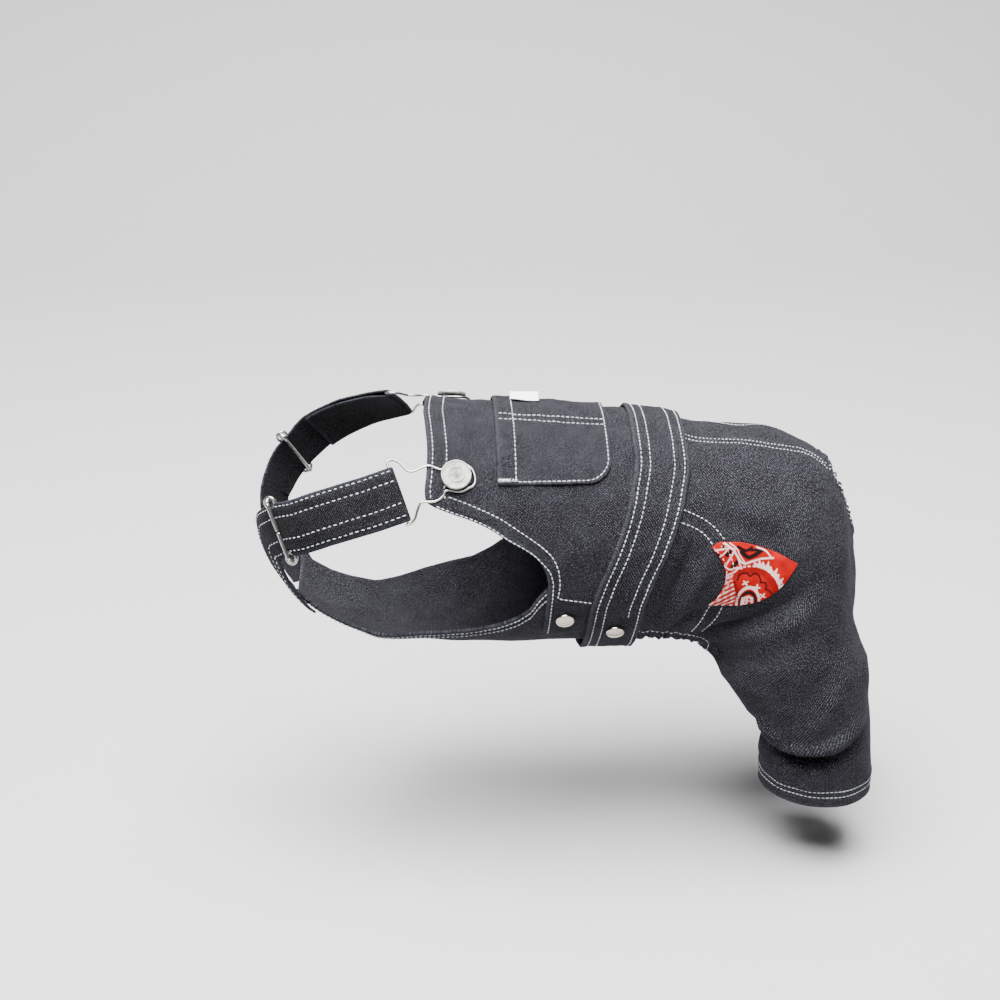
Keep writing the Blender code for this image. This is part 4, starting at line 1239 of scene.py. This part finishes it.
def make_patch(name, side, tree):
    """A printed patch laid on the trousers, stretched over the hollows of the cloth under it."""
    down, along = np.meshgrid(np.linspace(0, 1, 136), np.linspace(0, 1, 176))
    top, bottom = curve(along, PATCH, 1), curve(along, PATCH, 2)
    hollow = PATCH_HOLLOW * (1 - (2 * down - 1) ** 2) * (1 - along)
    x = PATCH_FROM_WAIST + PATCH_LENGTH * along + hollow
    z = -PATCH_DROP - PATCH_HEIGHT * (top + (bottom - top) * down)
    start = np.stack([x, np.full_like(x, -side * BODY_WIDTH), z], -1).reshape(-1, 3)
    inward = Vector((0, side, 0))
    spots = np.array([tree.ray_cast(Vector(point), inward)[0] for point in start]).reshape(x.shape + (3,))
    taut = spots.copy()
    for _ in range(10):
        taut[1:-1, 1:-1] = (taut[:-2, 1:-1] + taut[2:, 1:-1] + taut[1:-1, :-2] + taut[1:-1, 2:]) / 4
    raised = np.where((taut[..., 1] * -side > spots[..., 1] * -side)[..., None], taut, spots)
    points, quads, uv = outer_surface(raised, np.stack([x * -side, z], -1))
    inks = paisley((x - PATCH_FROM_WAIST) / MM, (-PATCH_DROP - z) / MM).reshape(-1, 3)
    edge = far_from(points, points[np.unique(open_edges(quads))])
    lift = 0.0003 + 0.0002 * smooth(0.0, 0.003, edge)
    obj, top_tree = shell(name, points, quads, uv, PATCH_CLOTH * 0.6, bandana_print, lift=lift)
    rim = np.tile(INKS["red"], (len(obj.data.vertices) - 2 * len(points), 1))
    colours = np.concatenate([inks, inks, rim])
    layer = obj.data.color_attributes.new("print", "FLOAT_COLOR", "POINT")
    with_alpha = np.concatenate([colours, np.ones((len(colours), 1))], 1)
    layer.data.foreach_set("color", with_alpha.ravel().astype(np.float32))
    lines = [side_line(rows, side, 0.066, 60) for rows in PATCH_LINES]
    return obj, sew(name + "_stitches", 15 + side, top_tree, lines, pink_thread, **PATCH_SEAM)


def make_belly():
    stations = np.linspace(PANEL[0][0], PANEL[-1][0], 150)
    half = np.interp(-stations, [-s for s, _ in PANEL], [h for _, h in PANEL])
    share, x = np.meshgrid(np.linspace(-1, 1, 100), stations * BACK_LENGTH)
    angle = 180 + half[:, None] * share
    base = skin(x, angle, -CLOTH - LAYER_GAP)
    points, quads, uv = outer_surface(base, np.stack([arc(angle - 180), x], -1))
    edges = np.stack([skin(stations * BACK_LENGTH, 180 + side * half, -LAYER_GAP) for side in (1, -1)])
    shown = stations < PANEL_SHOWN
    lines = []
    for side in (1, -1):
        for inset in PANEL_LINES:
            turn = half[shown] - np.degrees(inset / (BODY_HEIGHT * 0.5))
            lines.append(on_body(stations[shown] * BACK_LENGTH, 180 + side * turn, -LAYER_GAP))
    dip, rub = grooves(points, lines)
    thick = CLOTH + dip + hem_step(far_from(points, edges), PANEL_HEM, 0.0004) * 0.5
    lift = np.clip(0.0003 * ripple(points, 0.03, 51), -0.0004, 0.0003)
    obj, tree = shell("belly_panel_cloth", points, quads, uv, thick, denim, lift=lift, wear_more=rub)
    return obj, sew("belly_panel_stitches", 17, tree, lines, white_thread)


def strap_route(side, count=160):
    """A strap's middle line on the body: distances, points, outward directions and directions across."""
    place = np.linspace(0, STRAP[-1][0], count)
    station, angle, share = (curve(place, STRAP, column) for column in (1, 2, 3))
    spots, out = on_body(station * BACK_LENGTH, side * angle + BIB_TWIST * share, 0.0)
    across = unit(np.cross(np.gradient(spots, axis=0), out)) * side
    return lengths(spots), spots, out, across


def route_at(route, distance):
    """A route's point and directions at distances; before its start it goes straight on."""
    run, spots, *ways = route
    at = np.clip(distance, 0, run[-1])
    before = unit(spots[1] - spots[0]) * np.minimum(np.asarray(distance), 0)[..., None]
    return [read_line(spots, run, at) + before] + [read_line(way, run, at) for way in ways]


def strap_sag(reach):
    """How much lower the strap lies at a distance from its middle."""
    return reach**2 / (2 * STRAP_CURVE)


def bar_bend():
    """The radius of the strap's middle round the hook's bar."""
    return HOOK_WIRE / 2 + PIECE_GAP + STRAP_CLOTH / 2


def bar_lift():
    """The height of the hook's bar over the body."""
    return max(CLOTH + PIECE_GAP + HOOK_WIRE / 2, STRAP_CLOTH / 2 + PIECE_GAP + bar_bend())


def make_strap(end, side):
    """A strap from the end of its inner layer, round the hook's bar and out over the slide to the chest."""
    inner_rows, bend_rows, wide = 60, 14, 40
    route = strap_route(side)
    length = route[0][-1]
    bend = bar_bend()
    low = STRAP_CLOTH / 2 + PIECE_GAP
    high = low + STRAP_CLOTH + STRAP_LAYER_GAP
    turn = np.linspace(0, math.pi, bend_rows)
    outer = np.linspace(bend, length, 230)[1:]
    settle = np.clip((outer - 2 * bend) / (STRAP_RETURN / 4), 0, 1)
    lift_outer = (bar_lift() + bend) * (1 - settle) + high * settle
    past = np.clip((outer - STRAP_RETURN) / (SLIDER_FROM_LOOP - STRAP_RETURN), 0, 1)
    lift_outer = lift_outer * (1 - past) + low * past
    inner = np.linspace(STRAP_RETURN, 3 * bend, inner_rows)
    distance = np.concatenate([inner, bend - bend * np.sin(turn), outer])
    lift = np.concatenate([np.full(inner_rows, low), bar_lift() - bend * np.cos(turn), lift_outer])
    spot, out, across = route_at(route, distance)
    reach = STRAP_WIDTH * np.linspace(-0.5, 0.5, wide)
    height = lift[:, None] - strap_sag(reach)[None, :]
    points = spot[:, None] + out[:, None] * height[..., None] + across[:, None] * reach[None, :, None]
    u, v = np.meshgrid(reach, lengths(points[:, wide // 2]))
    flat, quads, uv = grid_surface(points, np.stack([u, v], -1))
    outer_row = inner_rows + bend_rows + 60
    row_quads = quads[outer_row * (wide - 1):(outer_row + 1) * (wide - 1)]
    if (facing(flat, row_quads) * out[outer_row]).sum() < 0:
        quads, uv = quads[:, ::-1], uv[:, ::-1]
    lines = []
    for inset in STRAP_LINES:
        for offset in (STRAP_WIDTH / 2 - inset, inset * 1.22 + 0.0009 - STRAP_WIDTH / 2):
            d = np.linspace(bend * 0.5, length, 260)
            line, line_out, line_across = route_at(route, d)
            up = np.interp(d, outer, lift_outer) - strap_sag(offset) + STRAP_CLOTH / 2
            lines.append((line + line_out * up[:, None] + line_across * offset, line_out))
    dip, rub = grooves(flat, lines, depth=0.0003)
    out_side = np.repeat(np.arange(len(distance)) > 70, wide)
    quilt = 0.00035 * bell(np.abs(np.tile(np.linspace(-1, 1, wide), len(distance))) - 0.72, 0.14)
    thick = STRAP_CLOTH + np.where(out_side, dip + quilt, 0)
    free = np.repeat(distance > STRAP_RETURN * 0.2, wide) & out_side
    soft = np.clip(0.0003 * ripple(flat, 0.018, 61 + side), -0.0001, 0.0003)
    name = "strap_" + end
    obj, tree = shell(
        name + "_cloth", flat, quads, uv, thick, strap_denim,
        lift=np.where(free, soft, 0) - STRAP_CLOTH / 2, wear_more=rub * out_side,
    )
    return obj, sew(name + "_stitches", 18 + side, tree, lines, white_thread, **STRAP_SEAM), route


# Wire and metal pieces
def wire_points(line, radius, closed, sides):
    """Rings of points round a line, turned evenly so that a closed one meets itself."""
    count = len(line)
    ahead = unit(np.roll(line, -1, 0) - np.roll(line, 1, 0)) if closed else unit(np.gradient(line, axis=0))
    side = unit(np.cross(ahead[0], [0.3, 0.9, 0.2]))
    frames = []
    for way in ahead:
        side = unit(side - way * (side @ way))
        frames.append(side)
    frames = np.array(frames)
    other = np.cross(ahead, frames)
    slip = 0.0
    if closed:
        start = frames[-1] - ahead[0] * (frames[-1] @ ahead[0])
        slip = math.atan2(start @ other[0], start @ frames[0])
    points = []
    for k in range(count):
        turn = np.arange(sides) * 2 * math.pi / sides - slip * k / (count - 1)
        around = np.cos(turn)[:, None] * frames[k] + np.sin(turn)[:, None] * other[k]
        points.extend(line[k] + radius * around)
    return points


def tube(name, lines, material, sides=14):
    """Round wires along smooth lines, given as points, radius and closed; all joined as one mesh."""
    points, faces = [], []
    for line, radius, closed in lines:
        base, count = len(points), len(line)
        points.extend(wire_points(line, radius, closed, sides))
        for k in range(count if closed else count - 1):
            here, after = base + k * sides, base + (k + 1) % count * sides
            for i in range(sides):
                j = (i + 1) % sides
                faces.append((here + i, here + j, after + j, after + i))
        if not closed:
            faces.append(tuple(base + i for i in reversed(range(sides))))
            faces.append(tuple(base + (count - 1) * sides + i for i in range(sides)))
    return add_object(name, points, faces, material)


def closed_line(points, count, steps=12):
    """A smooth closed line through points, evenly spaced."""
    points = np.concatenate([points[-3:], points, points[:4]])
    found = []
    for k in range(1, len(points) - 2):
        a, b, c, d = points[k - 1:k + 3]
        for t in np.arange(steps) / steps:
            square = (2 * a - 5 * b + 4 * c - d) * t**2
            found.append(0.5 * (2 * b + (c - a) * t + square + (3 * b - a - 3 * c + d) * t**3))
    found = np.array(found)[2 * steps:-2 * steps]
    run = lengths(found)
    return read_line(found, run, np.linspace(0, run[-1], count + 1)[:-1])


def button_place(side):
    x = -BACK_LENGTH + BUTTON_FROM_FRONT
    return x, side * BUTTON_ARC + twist(x)


def make_hook(end, side, route):
    """A wire hook: a bar through the strap's loop, then down both sides and round the button."""
    spot, out, across = route_at(route, np.array(bar_bend()))
    reach = (STRAP_WIDTH / 2 + HOOK_WIRE) * np.linspace(-1, 1, 9)
    bar = spot + across * reach[:, None] + out * (bar_lift() - strap_sag(reach))[:, None]
    x, angle = button_place(side)
    half_height = BODY_HEIGHT * curve(x / BACK_LENGTH, BODY, 2)
    back, down = np.array(HOOK).T
    wire_angle = angle + side * np.degrees(down * HOOK_WIDTH / half_height)
    wire = skin(x + back * HOOK_LENGTH, wire_angle, CLOTH + PIECE_GAP + HOOK_WIRE / 2)
    line = closed_line(np.concatenate([bar, wire]), 260)
    return tube("hook_" + end + "_wire", [(line, HOOK_WIRE / 2, True)], wire_metal)


def make_slider(end, side, route):
    """A wire slide: a bar over the strap and one under it, with a curled ring at each end."""
    spot, out, across = route_at(route, np.array(SLIDER_FROM_LOOP))
    low = STRAP_CLOTH / 2 + PIECE_GAP
    sag = strap_sag(STRAP_WIDTH / 2)
    reach = STRAP_CLOTH / 2 + PIECE_GAP + SLIDER_WIRE / 2 + sag / 2
    half = SLIDER_LENGTH / 2 - reach
    centre = spot + out * (low - sag / 2)
    radius = SLIDER_WIRE / 2
    lines = []
    for start, stop, level, count, thin in (
        (-1.0, -0.03, 1, 20, 1.0),
        (0.03, 1.0, 1, 20, 1.0),
        (-1.0, 1.0, -1, 24, 0.9),
    ):
        share = np.linspace(start, stop, count)
        lines.append((centre + across * (half * share)[:, None] + out * reach * level, radius * thin, False))
    for ending in (1, -1):
        turn = np.linspace(0, 2 * math.pi, 33)[:-1, None]
        middle = centre + across * ending * (half + 0.0002) + out * 0.0006
        ring_way = unit(out + np.array([0.0, -side * 0.9, 0.15]))
        first_way = unit(np.cross(ring_way, across))
        second_way = np.cross(first_way, ring_way)
        ring = middle + RING_RADIUS * (np.cos(turn) * first_way + np.sin(turn) * second_way)
        lines.append((ring, radius * 0.72, True))
        turn = np.linspace(-math.pi / 2, math.pi / 2, 14)[:, None]
        link = centre + across * (ending * (half + reach * np.cos(turn) * 0.8)) + out * (reach * np.sin(turn))
        lines.append((link, radius, False))
    return tube("slider_" + end + "_wire", lines, wire_metal)


def turned(name, outline, place, angle, lift, sides, material):
    """A turned piece from rows of radius and height, standing on the cloth."""
    turn = np.arange(sides) * 2 * math.pi / sides
    points, faces = [(0.0, 0.0, outline[0][1])], []
    for radius, height in outline[1:-1]:
        points.extend(zip(radius * np.cos(turn), radius * np.sin(turn), np.full(sides, height)))
    points.append((0.0, 0.0, outline[-1][1]))
    last = len(points) - 1
    last_ring = last - sides
    for i in range(sides):
        j = (i + 1) % sides
        faces.append((0, 1 + i, 1 + j))
        for ring in range(1, last_ring, sides):
            faces.append((ring + j, ring + i, ring + sides + i, ring + sides + j))
        faces.append((last, last_ring + j, last_ring + i))
    obj = add_object(name, points, faces, material)
    spot, out = on_body(place, angle, lift)
    obj.location = Vector(spot)
    obj.rotation_mode = "QUATERNION"
    obj.rotation_quaternion = Vector(out).to_track_quat("Z", "Y")
    return obj


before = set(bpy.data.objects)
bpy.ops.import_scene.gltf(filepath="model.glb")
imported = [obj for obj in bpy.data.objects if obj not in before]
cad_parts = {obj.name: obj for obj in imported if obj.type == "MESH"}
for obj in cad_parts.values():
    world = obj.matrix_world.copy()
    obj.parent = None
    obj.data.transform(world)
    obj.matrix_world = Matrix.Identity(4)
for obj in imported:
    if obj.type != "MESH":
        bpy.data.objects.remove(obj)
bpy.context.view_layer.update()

denim = denim_material("denim_twill", *DENIM)
strap_denim = denim_material("strap_twill", *STRAP_DENIM)
white_thread = thread_material("white_thread", *WHITE_THREAD)
pink_thread = thread_material("pink_thread", *PINK_THREAD)
label_tape = label_material()
bandana_print = print_material()
wire_metal = metal_material("plated_wire", (0.38, 0.38, 0.36), 0.30, 2600.0, 0.00003, 0.55)
button_metal = metal_material("dull_silver", (0.40, 0.40, 0.38), 0.58, 2400.0, 0.00030, 0.62, 44)
snap_metal = metal_material("pearly_plate", (0.50, 0.46, 0.38), 0.2, 900.0, 0.00002, 0.8)

bib, bib_stitches = make_bib()
pocket, pocket_stitches = make_pocket()
label = make_label()
band, band_stitches = make_band()
trousers, trousers_stitches, trousers_tree = make_trousers()
belly, belly_stitches = make_belly()

made = [
    (bib, "denim", ("back_bib",)),
    (bib_stitches, "denim", ()),
    (pocket, "denim", ("bib_pocket",)),
    (pocket_stitches, "denim", ()),
    (label, "label_cloth", ("pocket_label",)),
    (band, "denim", ("waistband",)),
    (band_stitches, "denim", ()),
    (trousers, "denim", ("trousers",)),
    (trousers_stitches, "denim", ()),
    (belly, "denim", ("belly_panel",)),
    (belly_stitches, "denim", ()),
]
cloths, patches = {}, {}
for end, side in (("left", 1), ("right", -1)):
    patch, patch_stitches = make_patch("hip_patch_" + end + "_cloth", side, trousers_tree)
    strap, strap_stitches, route = make_strap(end, side)
    hook = make_hook(end, side, route)
    slider = make_slider(end, side, route)
    outline = [(r * BUTTON_DIAMETER / 2, HOOK_WIRE + 2 * PIECE_GAP + h * BUTTON_CAP) for r, h in BUTTON_TURN]
    outline += [(BUTTON_SHANK / 2, outline[-1][1]), (BUTTON_SHANK / 2, 0.0), (0.0, 0.0)]
    x, angle = button_place(side)
    button = turned("button_" + end + "_metal", outline, x, angle, CLOTH + PIECE_GAP, 64, button_metal)
    made += [
        (patch, "patch_print", ("hip_patch_" + end,)),
        (patch_stitches, "patch_print", ()),
        (strap, "denim", ("strap_" + end,)),
        (strap_stitches, "denim", ()),
        (hook, "wire", ("hook_" + end,)),
        (slider, "wire", ("slider_" + end,)),
        (button, "button_metal", ("button_" + end,)),
    ]
    patches[end], cloths[end] = (patch, patch_stitches), (strap, strap_stitches)
snap_outline = [(r * SNAP_DIAMETER / 2, h * SNAP_HEIGHT) for r, h in SNAP_TURN]
for name, distance, angle, lift in (
    ("snap_front", SNAP_FRONT_FROM_WAIST, SNAP_FRONT_ANGLE, CLOTH + PIECE_GAP),
    ("snap_rear", SNAP_REAR_FROM_WAIST, SNAP_REAR_ANGLE, 2 * CLOTH + LAYER_GAP + PIECE_GAP),
):
    snap = turned(name + "_metal", snap_outline, -distance, angle, lift, 56, snap_metal)
    made.append((snap, "snap_metal", (name,)))

for obj, slot, nodes in made:
    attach(obj, "root")
    if nodes:
        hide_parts(*nodes)


# Floor, backdrop, light and camera
def make_sweep():
    """A pale floor that curves up into a backdrop, with painted shade that darkens the backdrop as it rises.
    """
    half_width, front, back, radius, top, steps = 4.0, -3.0, 1.2, 0.9, 3.2, 24
    turns = [math.pi / 2 * i / steps for i in range(1, steps + 1)]
    run = [(front, 0.0), (back, 0.0)]
    run += [(back + radius * math.sin(turn), radius * (1 - math.cos(turn))) for turn in turns]
    run.append((back + radius, top))
    points = [(x, y, FLOOR_HEIGHT + z) for y, z in run for x in (-half_width, half_width)]
    faces = [(2 * i, 2 * i + 1, 2 * i + 3, 2 * i + 2) for i in range(len(run) - 1)]
    look = Look("sweep_paper_with_painted_shade")
    where = look.node("TexCoord").outputs["Object"]
    height = look.node("SeparateXYZ", Vector=where).outputs["Z"]
    # Painted shade: the paper's colour darkens to a deeper grey as the sweep rises into the backdrop,
    # standing in for less light on the wall
    rise = look.between(height, FLOOR_HEIGHT + 0.02, FLOOR_HEIGHT + 0.9)
    paper = look.mix(look.noise(where, 40.0, 3.0), (0.41, 0.41, 0.418), (0.425, 0.425, 0.433))
    material = look.surface(look.mix(rise, paper, (0.22, 0.22, 0.217)), 0.9)
    return add_object("sweep", points, faces, material)


def area_light(name, place, target, size, power):
    data = bpy.data.lights.new(name, "AREA")
    data.shape = "SQUARE"
    data.size = size
    data.energy = power
    obj = bpy.data.objects.new(name, data)
    obj.location = place
    obj.rotation_mode = "QUATERNION"
    obj.rotation_quaternion = (Vector(target) - Vector(place)).to_track_quat("-Z", "Y")
    bpy.context.scene.collection.objects.link(obj)


floor = make_sweep()
area_light("light_top", (-0.20, -0.36, 1.65), (-0.05, 0.0, -0.1), 1.6, 285.0)
area_light("light_front", (-0.9, -1.9, 0.9), (-0.05, 0.0, -0.1), 1.2, 0.5)
area_light("light_back", (0.1, 1.0, 2.2), (0.0, 2.2, 0.5), 1.4, 42.0)
world = bpy.data.worlds.new("studio")
world.use_nodes = True
world.node_tree.nodes["Background"].inputs["Color"].default_value = (0.95, 0.96, 1.0, 1.0)
world.node_tree.nodes["Background"].inputs["Strength"].default_value = 0.02
bpy.context.scene.world = world

# The camera's place in the photograph: height and turn, distance, width of the view, and its target
ELEVATION, YAW = math.radians(23.0), math.radians(3.0)
DISTANCE = 0.95
VIEW_WIDTH = 0.55
SENSOR = 36.0
TARGET = Vector((-0.0836, 0.0, -0.046))
level = math.cos(ELEVATION)
ahead = Vector((math.sin(YAW) * level, math.cos(YAW) * level, -math.sin(ELEVATION)))
camera_data = bpy.data.cameras.new("camera")
camera_data.sensor_width = SENSOR
camera_data.lens = SENSOR * DISTANCE / VIEW_WIDTH
camera_data.clip_start, camera_data.clip_end = 0.05, 20.0
camera = bpy.data.objects.new("camera", camera_data)
camera.location = TARGET - ahead * DISTANCE
camera.rotation_mode = "QUATERNION"
camera.rotation_quaternion = ahead.to_track_quat("-Z", "Y")
bpy.context.scene.collection.objects.link(camera)
bpy.context.scene.camera = camera
